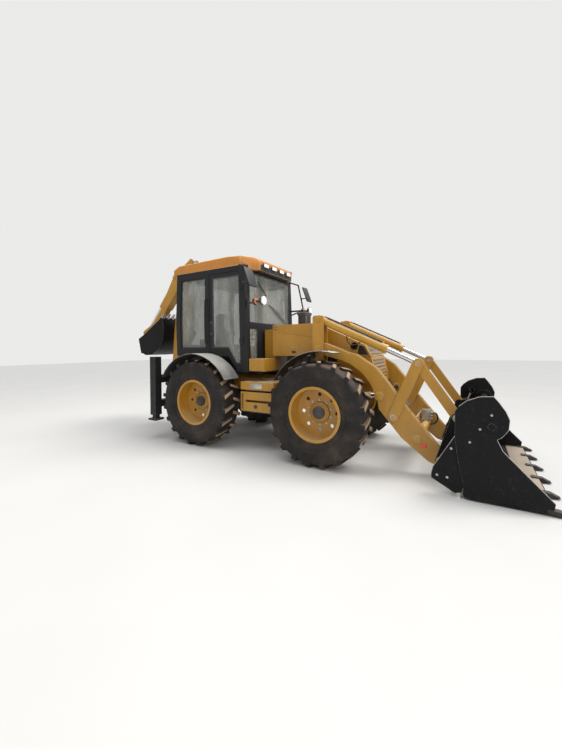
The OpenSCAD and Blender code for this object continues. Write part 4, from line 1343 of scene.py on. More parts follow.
@dataclass
class Hood:
    """Panels, vents, grille, air intake and latches of the hood."""

    half: float = 0.412

    def side_panels(self) -> None:
        """Adds the pressed side panels with their crease."""
        sheet = Sheet()
        lower = [(-1.02, 1.505), (0.28, 1.505), (0.255, 1.585), (-0.05, 1.68)]
        lower += [(-0.055, 1.755), (-0.30, 1.765), (-1.02, 1.885)]
        crease = [(-1.02, 1.900), (-0.28, 1.785), (-0.28, 1.797), (-1.02, 1.913)]
        sheet.plate(lower, (self.half - 0.003, self.half + 0.0028), 0.002)
        sheet.plate(crease, (self.half - 0.003, self.half + 0.006), 0.0015)
        sheet.box((-0.72, self.half, 1.60), (-0.60, self.half + 0.006, 1.635), 0.002)
        sheet.mirrored()
        sheet.finish("hood_side_panels", "hood", Finishes.YELLOW, "yellow_paint")

    def latches(self) -> None:
        """Adds handles, latch plates and hinges."""
        sheet = Sheet()
        for x in (-0.66, 0.20):
            sheet.box((x - 0.035, self.half + 0.0028, 1.535), (x + 0.035, self.half + 0.008, 1.575), 0.002)
            sheet.rod((x, self.half, 1.555), (x, self.half + 0.010, 1.555), 0.011, 16)
        for z in (1.93, 1.97):
            sheet.rod((-1.045, self.half - 0.002, z), (-0.98, self.half - 0.002, z), 0.006, 10)
        sheet.mirrored()
        sheet.finish("hood_latches", "hood", Finishes.PLASTIC, "black_plastic")

    def vents(self) -> None:
        """Adds the trim of the side vents and of the round hose openings, with their dark mesh."""
        trim = Sheet()
        outline = [(0.388, 1.513), (0.553, 1.513), (0.494, 1.632), (0.421, 1.657)]
        inner = [(0.400, 1.524), (0.538, 1.524), (0.487, 1.621), (0.428, 1.642)]
        for i in range(4):
            j = (i + 1) % 4
            bar = [outline[i], outline[j], inner[j], inner[i]]
            trim.plate(bar, (self.half - 0.002, self.half + 0.005), 0.001)
        ring = [(0.048, -0.012), (0.058, -0.012), (0.058, 0.005), (0.052, 0.007), (0.048, 0.005)]
        trim.lathe(ring, (0.345, self.half, 1.64), 40)
        for i in range(7):
            z = 1.532 + i * 0.0145
            trim.box((0.404, self.half - 0.010, z), (0.532 - i * 0.0065, self.half - 0.001, z + 0.0045))
        for i in range(6):
            x = 0.414 + i * 0.0195
            trim.box((x, self.half - 0.013, 1.527), (x + 0.004, self.half - 0.003, 1.632 - i * 0.003))
        trim.mirrored()
        trim.finish("hood_vent_trim", "hood", Finishes.PLASTIC, "black_plastic")

    def grille(self) -> None:
        """Adds the woven mesh of the nose and of the hood's front face."""
        for name, body, foot, head, rows in (
            ("nose_mesh", "root", (0.638, 1.135), (0.602, 1.440), 24),
            ("hood_mesh", "hood", (0.578, 1.496), (0.515, 1.640), 12),
        ):
            sheet = Sheet()
            way = [(foot[0] - 0.004, foot[1]), (head[0] - 0.004, head[1])]
            if name == "nose_mesh":
                way = [(0.6425, 1.135), (0.636, 1.25), (0.598, 1.39), (0.587, 1.455)]
            for i in range(rows + 1):
                t = i / rows
                x = foot[0] + (head[0] - foot[0]) * t
                z = foot[1] + (head[1] - foot[1]) * t
                if name == "nose_mesh" and 0.0 < t < 0.9:
                    x = 0.640 - 0.004 * t if z < 1.25 else 0.640 - (z - 1.25) * 0.27
                sheet.rod((x + 0.002, -0.335, z), (x + 0.002, 0.335, z), 0.0036, 6)
            for i in range(31):
                y = -0.33 + i * 0.022
                for (x0, z0), (x1, z1) in zip(way, way[1:]):
                    sheet.rod((x0, y, z0), (x1, y, z1), 0.0018, 6)
            sheet.finish(name, body, Finishes.MESH, "black_paint" if body == "hood" else "yellow_paint")

    def radiator(self) -> None:
        """Adds the finned core behind the grille."""
        sheet = Sheet()
        sheet.box((0.40, -0.36, 1.12), (0.47, 0.36, 1.46), 0.004)
        for i in range(36):
            y = -0.35 + i * 0.02
            sheet.box((0.468, y, 1.13), (0.482, y + 0.004, 1.45))
        sheet.finish("radiator_core", "root", Finishes.IRON, "dark_metal")

    def intake(self) -> None:
        """Adds the air intake's box on the hood, with its cap and slots."""
        sheet = Sheet()
        sheet.box((-0.80, 0.01, 2.000), (-0.63, 0.20, 2.235), 0.018)
        sheet.box((-0.815, 0.0, 2.185), (-0.615, 0.21, 2.245), 0.02)
        for i in range(5):
            z = 2.03 + i * 0.028
            sheet.box((-0.632, 0.035, z), (-0.622, 0.175, z + 0.010), 0.002)
        sheet.finish("air_intake", "hood", Finishes.PLASTIC, "black_plastic")
        stack = Sheet()
        stack.rod((-0.35, -0.22, 1.97), (-0.35, -0.22, 2.04), 0.045, 28)
        stack.rod((-0.35, -0.22, 2.03), (-0.35, -0.22, 2.14), 0.032, 24)
        stack.finish("exhaust_stub", "hood", Finishes.IRON, "dark_metal")

    def build(self) -> None:
        """Builds the hood's dressing."""
        self.side_panels()
        self.latches()
        self.vents()
        self.grille()
        self.radiator()
        self.intake()


# Loader


@dataclass
class Loader:
    """Pin caps, hoses, valve block and wear of the loader's arms and towers."""

    arm_in: float = 0.545
    arm_out: float = 0.655
    fork_face: float = 0.679
    tower_pin: SidePoint = (-0.115, 1.600)
    tilt_pin: SidePoint = (-0.115, 2.040)
    lever_pin: SidePoint = (0.940, 0.700)
    heel_pin: SidePoint = (1.500, 0.220)
    link_pin: SidePoint = (1.680, 0.760)
    knee: SidePoint = (1.245, 1.405)
    boss: SidePoint = (0.757, 0.961)
    cross: SidePoint = (1.232, 0.440)
    ports: tuple[float, float] = (0.43, 0.66)
    hose_y: float = 0.527
    hose_low: float = 1.655
    hose_radius: float = 0.008

    def towers(self) -> None:
        """Adds edge bars, pin caps and foot bolts to the towers."""
        sheet = Sheet()
        seat = self.fork_face - 0.001
        for x in (-0.199, -0.034):
            sheet.box((x - 0.003, seat, 1.46), (x + 0.007, self.fork_face + 0.005, 2.07), 0.002)
        sheet.box((-0.197, seat, 1.442), (-0.033, self.fork_face + 0.006, 1.456), 0.002)
        for pin, radius in ((self.tower_pin, 0.058), (self.tilt_pin, 0.046)):
            sheet.pin_cap(pin, self.fork_face + 0.002, 1, radius, 3)
        for x in (-0.18, -0.05):
            for z in (1.49, 1.80):
                sheet.bolt((x, self.fork_face, z), (0, 1, 0), 0.007)
        sheet.mirrored()
        sheet.finish("tower_fittings", "root", Finishes.YELLOW, "yellow_paint")

    def caps(self) -> None:
        """Adds the caps and bolts of the moving pins."""
        sheet = Sheet()
        sheet.pin_cap(self.boss, self.arm_out + 0.010, 1, 0.056, 3)
        sheet.pin_cap(self.cross, self.arm_out + 0.008, 1, 0.050, 0)
        sheet.mirrored()
        sheet.finish("arm_boss_caps", "loader_arms", Finishes.RAM, "yellow_paint")
        for name, body, pin, radius in (
            ("lever_pin_caps", "lever_pins", self.lever_pin, 0.052),
            ("heel_pin_caps", "bucket_pins", self.heel_pin, 0.046),
            ("knee_pin_caps", "link_pins", self.knee, 0.042),
        ):
            sheet = Sheet()
            sheet.pin_cap(pin, self.fork_face + 0.001, 1, radius, 1)
            sheet.mirrored()
            sheet.finish(name, body, Finishes.RAM, "yellow_paint")
        sheet = Sheet()
        sheet.pin_cap(self.link_pin, self.fork_face, 1, 0.046, 2)
        sheet.mirrored()
        sheet.finish("link_pin_caps", "bucket", Finishes.STEEL, "black_paint")

    def arm_trim(self) -> None:
        """Adds the weld beads, bolts, reflectors and cross plate of the arms."""
        sheet = Sheet()
        way = [(0.34, 1.546), (0.442, 1.523), (0.725, 1.334), (0.894, 1.122), (1.082, 0.864), (1.523, 0.325)]
        for y in (self.arm_in + 0.012, self.arm_out - 0.012):
            sheet.bead(way, y, 0.004)
        (x0, z0), (x1, z1) = way[-2:]
        for t in (0.15, 0.4, 0.65, 0.9):
            spot = (x0 + (x1 - x0) * t, ARM_Y, z0 + (z1 - z0) * t + 0.003)
            sheet.bolt(spot, (0.77, 0, 0.63), 0.009)
        sheet.mirrored()
        for x in (1.215, 1.262):
            sheet.box((x - 0.012, -self.arm_in, 0.36), (x, self.arm_in, 0.375), 0.003)
        sheet.finish("arm_welds", "loader_arms", Finishes.YELLOW, "yellow_paint")
        plate = Sheet()
        for i in range(7):
            y = -0.48 + i * 0.16
            plate.box((1.14, y - 0.065, 0.505), (1.152, y + 0.065, 0.60), 0.004)
        for low, high in ((0.492, 0.52), (0.59, 0.61)):
            plate.box((1.135, -self.arm_in, low), (1.147, self.arm_in, high), 0.003)
        plate.finish("cross_plate", "loader_arms", Finishes.RAM, "yellow_paint")
        # The red lens material glows, so these reflectors carry a painted glow though they are no lamps.
        glass = Sheet()
        glass.box((1.275, self.arm_out - 0.001, 0.345), (1.345, self.arm_out + 0.006, 0.395), 0.004)
        glass.mirrored()
        glass.finish("arm_reflectors_painted_glow", "loader_arms", Finishes.RED_LENS, "lamp")

    def valve_block(self) -> None:
        """Adds the hydraulic block between the arms with its ports."""
        sheet = Sheet()
        sheet.box((1.17, 0.30, 0.50), (1.29, 0.42, 0.66), 0.006)
        sheet.box((1.19, 0.42, 0.54), (1.27, 0.47, 0.62), 0.004)
        for i in range(3):
            z = 0.53 + i * 0.045
            sheet.rod((1.29, 0.34, z), (1.325, 0.34, z), 0.014, 6)
            sheet.rod((1.29, 0.39, z), (1.315, 0.39, z), 0.012, 6)
        sheet.finish("valve_block", "loader_arms", Finishes.EDGE_STEEL, "steel")

    def on_tilt_ram(self, along: float, out: float) -> SidePoint:
        """Side-view point along the tilt ram and up from its axis."""
        length = math.dist(self.tilt_pin, self.knee)
        ux = (self.knee[0] - self.tilt_pin[0]) / length
        uz = (self.knee[1] - self.tilt_pin[1]) / length
        return (self.tilt_pin[0] + ux * along - uz * out, self.tilt_pin[1] + uz * along + ux * out)

    def loop_hose(self, side: int, word: str) -> None:
        """Hangs one slack hose beside a tilt ram, from the rear port of its barrel to the front one.

        Args:
            side: 1 for the left ram, -1 for the right one.
            word: Name of the side.
        """
        plane = side * self.hose_y
        first, last = (self.on_tilt_ram(along, -0.006) for along in self.ports)
        depth = self.hose_low
        points = [
            at(first[0], plane, first[1]),
            at(first[0], plane, first[1] - 0.050),
            at(first[0] + 0.006, plane, depth + 0.065),
            at(first[0] + 0.055, plane, depth + 0.008),
            at((first[0] + last[0]) / 2, plane, depth),
            at(last[0] - 0.050, plane, depth + 0.014),
            at(last[0] - 0.006, plane, (depth + last[1]) / 2),
            at(last[0], plane, last[1] - 0.020),
            at(last[0], plane, last[1]),
        ]
        way = smooth_way(points, 4)
        curve = bpy.data.curves.new(f"loop_hose_{word}", "CURVE")
        curve.dimensions = "3D"
        curve.bevel_depth = self.hose_radius
        curve.bevel_resolution = 3
        curve.use_fill_caps = True
        spline = curve.splines.new("POLY")
        spline.points.add(len(way) - 1)
        for point, spot in zip(spline.points, way):
            point.co = (*spot, 1.0)
        piece = bpy.data.objects.new(f"loop_hose_{word}", curve)
        curve.materials.append(Finishes.HOSE.value.material())
        bpy.context.scene.collection.objects.link(piece)
        settle(piece, "tilt_barrels")
        length = sum((b - a).length for a, b in zip(way, way[1:]))

    def hoses(self) -> None:
        """Lays the hoses along the arms and rams."""
        for side, word in ((1, "left"), (-1, "right")):
            for i in range(2):
                y = side * (0.618 - i * 0.024)
                way = [self.on_tilt_ram(along, 0.0695) for along in (0.10, 0.30, 0.60, 0.97)]
                points = [(x, y, z) for x, z in way]
                pipe(f"tilt_hose_{word}_{i}", "tilt_barrels", points, 0.0095, Finishes.HOSE)
            self.loop_hose(side, word)
        for i in range(3):
            y = 0.36 + i * 0.03
            points = [(1.30, y, 0.58), (1.36, y, 0.60), (1.39, y + 0.02, 0.52)]
            points += [(1.345, y + 0.05, 0.44), (1.28, y + 0.07, 0.42)]
            pipe(f"block_hose_{i}", "loader_arms", points, 0.010, Finishes.HOSE)

    def ram_collars(self) -> None:
        """Adds the glands, ports and clamps of the tilt rams."""
        sheet = Sheet()
        for start, end, radius in (
            (1.030, 1.072, 0.064),
            (0.985, 1.0, 0.062),
            (0.14, 0.155, 0.061),
            (0.55, 0.575, 0.0605),
        ):
            (x0, z0), (x1, z1) = (self.on_tilt_ram(along, 0.0) for along in (start, end))
            sheet.rod((x0, ARM_Y, z0), (x1, ARM_Y, z1), radius, 40)
        for along in self.ports:
            x, z = self.on_tilt_ram(along, 0.0)
            sheet.rod((x, 0.5185, z), (x, 0.550, z), 0.014, 6)
        for along in (0.10, 1.01):
            x, z = self.on_tilt_ram(along, 0.0)
            sheet.box((x - 0.018, 0.585, z + 0.045), (x + 0.018, 0.615, z + 0.085), 0.004)
        sheet.mirrored()
        sheet.finish("tilt_ram_collars", "tilt_barrels", Finishes.RAM, "yellow_paint")

    def build(self) -> None:
        """Builds the loader's dressing."""
        self.towers()
        self.caps()
        self.arm_trim()
        self.valve_block()
        self.hoses()
        self.ram_collars()


@dataclass
class Bucket:
    """Bolts, hub rings, welds, cutting edge and teeth caps of the loader bucket."""

    jaw_face: float = 1.175
    back_face: float = 1.148
    jaw_pin: SidePoint = (2.010, 0.800)
    tooth_count: int = 6
    width: float = 2.35

    def rim(self) -> None:
        """Adds the hub rings and the bolts of the jaw's cheeks."""
        sheet = Sheet()
        x, z = self.jaw_pin
        ring = [(0.034, 0.0), (0.062, 0.0), (0.062, 0.008), (0.056, 0.012), (0.034, 0.012)]
        sheet.lathe(ring, (x, self.jaw_face - 0.001, z), 40)
        sheet.mirrored()
        sheet.finish("jaw_hub_rings", "bucket_jaw", Finishes.BUCKET, "black_paint")
        bolts = Sheet()
        for px, pz in ((2.008, 0.918), (1.906, 0.764), (1.814, 0.618)):
            bolts.bolt((px, self.jaw_face, pz), (0, 1, 0), 0.009)
        bolts.mirrored()
        bolts.finish("jaw_bolts", "bucket_jaw", Finishes.STEEL, "steel")

    def edges(self) -> None:
        """Adds bright strips along the jaw's rim and floor, and the teeth caps; the rim strip is wear and a
        painted highlight.
        """
        sheet = Sheet()
        rim = [(2.516, 0.122), (2.103, 0.559), (2.052, 0.673), (2.095, 0.702), (2.150, 0.780)]
        rim += [(2.160, 0.880), (2.127, 0.964), (2.072, 1.050), (2.027, 1.107), (1.906, 1.098)]
        rim += [(1.790, 1.050), (1.715, 0.985)]
        # Bright steel bead along the rim: part wear, part painted highlight.
        sheet.bead(rim, self.jaw_face - 0.0105, 0.0045)
        sheet.mirrored()
        sheet.finish("jaw_rim_wear_and_highlight", "bucket_jaw", Finishes.EDGE_STEEL, "black_paint")
        plate = Sheet()
        teeth = Sheet()
        outline = [(2.452, 0.020), (2.555, 0.003), (2.6392, 0.019), (2.560, 0.0585), (2.452, 0.0635)]
        plate.box((2.30, -1.15, 0.044), (2.52, 1.15, 0.049), 0.002)
        plate.box((1.86, -1.15, 0.0205), (2.50, 1.15, 0.0235), 0.001)
        for i in range(self.tooth_count):
            y = -self.width / 2 + 0.035 + i * (self.width - 0.07) / (self.tooth_count - 1)
            teeth.plate(outline, (y - 0.0385, y + 0.0385), 0.003)
        teeth.finish("tooth_caps", "bucket_jaw", Finishes.TOOTH, "black_paint")
        plate.finish("cutting_edge", "bucket_jaw", Finishes.DUSTY_EDGE, "black_paint")

    def welds(self) -> None:
        """Adds the heel strips and weld beads of the back section."""
        sheet = Sheet()
        way = [(1.443, 0.170), (1.443, 0.215), (1.462, 0.293), (1.674, 0.655)]
        sheet.bead(way, self.back_face - 0.0105, 0.0045)
        for px, pz in ((1.50, 0.21), (1.60, 0.20), (1.64, 0.52)):
            sheet.bolt((px, self.back_face, pz), (0, 1, 0), 0.010)
        sheet.mirrored()
        sheet.finish("bucket_heel_wear", "bucket", Finishes.EDGE_STEEL, "black_paint")
        ribs = Sheet()
        outline = [(1.735, 0.35), (1.755, 0.345), (1.850, 0.58), (1.955, 0.80), (1.935, 0.80), (1.828, 0.59)]
        for y in (-0.9, -0.3, 0.3, 0.9):
            ribs.plate(outline, (y - 0.012, y + 0.012), 0.002)
        ribs.rod((1.75, -1.12, 0.36), (1.75, 1.12, 0.36), 0.009, 8)
        ribs.finish("bucket_back_ribs", "bucket", Finishes.BUCKET, "black_paint")

    def build(self) -> None:
        """Builds the bucket's dressing."""
        self.rim()
        self.edges()
        self.welds()


# Cab


@dataclass
class Cab:
    """Seals, visor strip, lamps, wipers, mirrors, rails, steps, tanks and interior of the cab."""

    half: float = 0.79
    glass_x: float = -1.352
    lamp_y: float = 0.85
    lamp_z: float = 2.36

    def seals(self) -> None:
        """Adds the rubber seals round the panes."""
        sheet = Sheet()
        x0, x1 = self.glass_x, self.glass_x + 0.016
        for s in (-1, 1):
            low, high = span(s * 0.676, s * 0.699)
            sheet.box((x0, low, 2.042), (x1, high, 2.898), 0.003)
        sheet.box((x0, -0.699, 2.042), (x1, 0.699, 2.062), 0.003)
        sheet.box((x0, -0.699, 2.876), (x1, 0.699, 2.898), 0.003)
        for s in (-1, 1):
            low, high = span(s * 0.4635, s * 0.698)
            for y0, z0, y1, z1 in (
                (low, 1.421, low + 0.016, 1.958),
                (high - 0.016, 1.421, high, 1.958),
                (low, 1.421, high, 1.438),
                (low, 1.942, high, 1.958),
            ):
                sheet.box((-1.345, y0, z0), (-1.330, y1, z1), 0.003)
            outline = [(-2.221, 2.869), (-2.809, 2.869), (-2.839, 2.100), (-2.829, 1.631), (-2.221, 1.631)]
            self.loop(sheet, outline, span(s * 0.760, s * 0.772), 0.016)
        sheet.finish("pane_seals", "root", Finishes.PLASTIC, "black_plastic")
        for s, word in ((1, "left"), (-1, "right")):
            door = Sheet()
            outline = [(-1.451, 1.371), (-1.477, 2.839), (-2.059, 2.839), (-2.059, 1.631)]
            outline += [(-1.699, 1.631), (-1.541, 1.371)]
            self.loop(door, outline, span(s * 0.7705, s * 0.784), 0.014)
            door.finish(f"door_seal_{word}", f"door_{word}", Finishes.PLASTIC, "black_plastic")

    def loop(
        self, sheet: Sheet, outline: Sequence[SidePoint], y: tuple[float, float], width: float
    ) -> None:
        """Adds a flat frame of a given width just inside an outline.

        Args:
            sheet: Mesh that takes the frame.
            outline: Corners as (x, z).
            y: Faces of the frame.
            width: Width of its bars.
        """
        cx = sum(p[0] for p in outline) / len(outline)
        cz = sum(p[1] for p in outline) / len(outline)
        inner = []
        for x, z in outline:
            dx, dz = cx - x, cz - z
            inner.append((x + math.copysign(width, dx), z + math.copysign(width, dz)))
        for i in range(len(outline)):
            j = (i + 1) % len(outline)
            sheet.plate([outline[i], outline[j], inner[j], inner[i]], y)

    def visor(self) -> None:
        """Adds the dark strip that carries the work lamps, the roof's rim and its cap."""
        sheet = Sheet()
        sheet.box((-1.2135, -0.535, 2.930), (-1.2075, 0.535, 3.058), 0.002)
        sheet.box((-2.996, -0.70, 2.996), (-2.991, 0.70, 3.070), 0.002)
        sheet.box((-1.343, -0.538, 2.9205), (-1.222, 0.538, 2.9246), 0.001)
        sheet.finish("visor_strip", "root", Finishes.PLASTIC, "black_plastic")
        rim = Sheet()
        rim.box((-1.2185, -0.545, 3.058), (-1.2060, 0.545, 3.072), 0.004)
        for y in (-0.52, 0.52):
            rim.box((-2.80, y - 0.03, 3.140), (-1.70, y + 0.03, 3.166), 0.010)
        rim.finish("visor_rim", "root", Finishes.ORANGE, "orange_paint")

    def lamps(self) -> None:
        """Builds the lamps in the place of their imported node."""
        shells = Sheet()
        lenses = Sheet()
        amber = Sheet()
        rings = Sheet()
        for i in range(4):
            y = -0.39 + 0.26 * i
            for x0, x1, x2, x3 in ((-1.2047, -1.186, -1.189, -1.180), (-3.012, -2.9903, -3.020, -3.011)):
                shells.box((x0, y - 0.075, 2.985), (x1, y + 0.075, 3.055), 0.006)
                lenses.box((x2, y - 0.068, 2.992), (x3, y + 0.068, 3.048), 0.004)
        for s in (-1, 1):
            y, z = s * self.lamp_y, self.lamp_z
            for x0, reach in ((-1.3365, 0.765), (-1.090, 0.870)):
                low, high = span(s * 0.735, s * reach)
                shells.box((x0, low, z - 0.015), (-1.060, high, z + 0.015), 0.004)
            for sheet, x0, x1, radius, sides, end in (
                (shells, -1.088, -0.999, 0.020, 20, 0.020),
                (shells, -1.000, -0.985, 0.052, 32, 0.071),
                (shells, -0.985, -0.950, 0.071, 32, 0.074),
                (rings, -0.952, -0.941, 0.075, 40, 0.075),
                (lenses, -0.943, -0.936, 0.068, 40, 0.062),
                (lenses, -0.937, -0.930, 0.062, 40, 0.040),
                (shells, -1.128, -1.089, 0.060, 36, 0.060),
                (amber, -1.134, -1.127, 0.056, 36, 0.054),
                (amber, -1.150, -1.133, 0.030, 36, 0.054),
                (amber, -1.092, -1.084, 0.054, 36, 0.050),
            ):
                sheet.rod((x0, y, z), (x1, y, z), radius, sides, end)
        shells.finish("lamp_shells", "root", Finishes.PLASTIC, "lamp", ("lamps",))
        lenses.finish("lamp_lenses", "root", Finishes.WHITE_LENS, "lamp", ("lamps",))
        amber.finish("direction_lenses", "root", Finishes.AMBER_LENS, "lamp", ("lamps",))
        rings.finish("lamp_rings", "root", Finishes.CHROME, "lamp", ("lamps",))
        marker = Sheet()
        marker.box((-1.30, 0.56, 3.075), (-1.235, 0.63, 3.12), 0.008)
        marker.box((-2.985, -0.66, 1.30), (-2.962, -0.56, 1.42), 0.006)
        marker.finish("marker_lenses", "root", Finishes.RED_LENS, "lamp")

    def wipers(self) -> None:
        """Adds the wipers on the windscreen, a short one and a long one with its double arm."""
        sheet = Sheet()
        x = -1.331
        blade = x - 0.008
        for foot, elbow, head, end in (
            ((0.545, 2.075), (0.513, 2.108), (-0.068, 2.397), (-0.085, 2.406)),
            ((-0.190, 2.558), (-0.206, 2.590), (-0.404, 2.725), (-0.425, 2.775)),
        ):
            sheet.rod((-1.352, *foot), (x + 0.004, *foot), 0.016, 20)
            sheet.rod((x, *foot), (x, *head), 0.0065, 10)
            sheet.rod((blade, *elbow), (blade, *end), 0.0055, 8)
            for share in (0.12, 0.5, 0.88):
                y = elbow[0] + (end[0] - elbow[0]) * share
                z = elbow[1] + (end[1] - elbow[1]) * share
                sheet.rod((blade, y, z - 0.006), (x, y, z + 0.008), 0.006, 8)
        sheet.rod((x + 0.003, 0.500, 2.142), (x + 0.003, 0.030, 2.376), 0.0045, 8)
        sheet.finish("wipers", "root", Finishes.PLASTIC, "black_plastic")

    def mirrors(self) -> None:
        """Adds shells, silvered panes and clamps to the rear-view mirrors."""
        shell = Sheet()
        pane = Sheet()
        for s in (-1, 1):
            y = span(s * 0.898, s * 1.102)
            shell.plate([(-1.133, 2.8615), (-1.146, 2.8560), (-1.041, 2.5665), (-1.028, 2.5715)], y, 0.004)
            silver = [(-1.1562, 2.8440), (-1.1575, 2.8435), (-1.0545, 2.5660), (-1.0532, 2.5665)]
            pane.plate(silver, (y[0] + 0.012, y[1] - 0.012))
            for x0, x1, radius in ((-1.228, -1.206, 0.021), (-1.085, -1.066, 0.018)):
                shell.rod((x0, s * 1.0, 2.64), (x1, s * 1.0, 2.64), radius, 16)
        shell.finish("mirror_shells", "root", Finishes.PLASTIC, "black_plastic")
        pane.finish("mirror_panes", "root", Finishes.MIRROR, "glass")

    def rails(self) -> None:
        """Adds the grab rail beside each door."""
        for s, word in ((1, "left"), (-1, "right")):
            way = ((0.0, 1.72), (0.035, 1.75), (0.045, 2.10), (0.035, 2.45), (0.0, 2.48))
            points = [(-2.19, s * (self.half + out), z) for out, z in way]
            pipe(f"grab_rail_{word}", "root", points, 0.011, Finishes.BLACK)

    def steps(self) -> None:
        """Adds the studded treads and the plate of the steps."""
        treads = Sheet()
        for s in (-1, 1):
            for i in range(5):
                x = -1.27 + i * 0.10
                low, high = span(s * 0.60, s * 0.872)
                treads.box((x, low, 1.084), (x + 0.055, high, 1.0895), 0.0015)
                for k in range(8):
                    y = s * (0.62 + 0.034 * k)
                    treads.rod((x + 0.0275, y, 1.0888), (x + 0.0275, y, 1.0935), 0.0085, 8, 0.005)
            low, high = span(s * 0.8795, s * 0.883)
            treads.box((-1.20, low, 0.985), (-0.98, high, 1.060), 0.0012)
            for x in (-1.19, -0.99):
                for z in (0.995, 1.050):
                    treads.bolt((x, s * 0.882, z), (0, s, 0), 0.0045)
        treads.finish("step_treads", "root", Finishes.EDGE_STEEL, "yellow_paint")

    def tanks(self) -> None:
        """Adds the dark strips and the caps of the tanks."""
        skirt = Sheet()
        for s in (-1, 1):
            for inner, outer, x0, z0, x1, z1, bevel in (
                (0.36, 0.878, -1.385, 0.606, -0.815, 0.622, 0.003),
                (0.50, 0.882, -1.295, 0.950, -0.812, 0.9605, 0.002),
                (0.8795, 0.8835, -1.36, 0.64, -1.34, 0.90, 0.0015),
            ):
                low, high = span(s * inner, s * outer)
                skirt.box((x0, low, z0), (x1, high, z1), bevel)
            skirt.rod((-1.10, s * 0.879, 0.70), (-1.10, s * 0.890, 0.70), 0.030, 28)
            skirt.rod((-1.10, s * 0.889, 0.70), (-1.10, s * 0.898, 0.70), 0.022, 6)
        skirt.finish("tank_skirts", "root", Finishes.PLASTIC, "black_plastic")

    def panel_bolts(self) -> None:
        """Adds the strips and bolts of the corner panels and the tanks."""
        frame = Sheet()
        for s in (-1, 1):
            low, high = span(s * 0.7795, s * 0.784)
            for z in (1.262, 1.432):
                frame.box((-1.27, low, z), (-1.02, high, z + 0.010), 0.001)
            for x in (-1.262, -1.028):
                for z in (1.29, 1.42):
                    frame.bolt((x, s * 0.780, z), (0, s, 0), 0.007)
            for x, z in ((-1.36, 0.655), (-1.36, 0.89), (-0.85, 0.655), (-0.85, 0.89), (-0.85, 1.0)):
                frame.bolt((x, s * 0.880, z), (0, s, 0), 0.009)
        frame.finish("panel_bolts", "root", Finishes.YELLOW, "yellow_paint")

    def handles(self) -> None:
        """Adds the latches and the hinge bolts of the doors."""
        for s, word in ((1, "left"), (-1, "right")):
            sheet = Sheet()
            low, high = span(s * 0.785, s * 0.797)
            sheet.box((-2.112, low, 1.86), (-2.055, high, 2.09), 0.004)
            sheet.rod((-2.070, s * 0.797, 1.95), (-2.070, s * 0.805, 1.95), 0.012, 20)
            for z in (1.72, 1.78, 2.62, 2.68):
                sheet.bolt((-1.452, s * 0.804, z), (0, s, 0), 0.008)
            sheet.finish(f"door_latch_{word}", f"door_{word}", Finishes.PLASTIC, "black_plastic")

    def interior(self) -> None:
        """Adds the console's panel, levers and knobs."""
        sheet = Sheet()
        outline = [(-1.60, 1.79), (-1.48, 1.83), (-1.47, 1.95), (-1.50, 1.95), (-1.60, 1.82)]
        sheet.plate(outline, (-0.13, 0.13), 0.006)
        for y in (-0.30, 0.30):
            sheet.rod((-2.02, y, 1.55), (-1.98, y, 1.86), 0.009, 12)
            sheet.rod((-1.98, y, 1.855), (-1.975, y, 1.93), 0.022, 20, 0.017)
        for s in (-1, 1):
            for x in (-2.69, -2.64):
                y = s * 0.255
                sheet.rod((x, y, 1.80), (x, y, 1.90), 0.007, 10)
                sheet.rod((x, y, 1.895), (x, y, 1.945), 0.018, 16, 0.014)
            low, high = span(s * 0.30, s * 0.46)
            sheet.box((-2.30, low, 1.495), (-1.90, high, 1.66), 0.02)
        sheet.finish("cab_controls", "root", Finishes.PLASTIC, "black_plastic")

    def build(self) -> None:
        """Builds the cab's dressing."""
        self.seals()
        self.visor()
        self.lamps()
        self.wipers()
        self.mirrors()
        self.rails()
        self.steps()
        self.tanks()
        self.panel_bolts()
        self.handles()
        self.interior()


Crown = Callable[[float, float, float], Point]


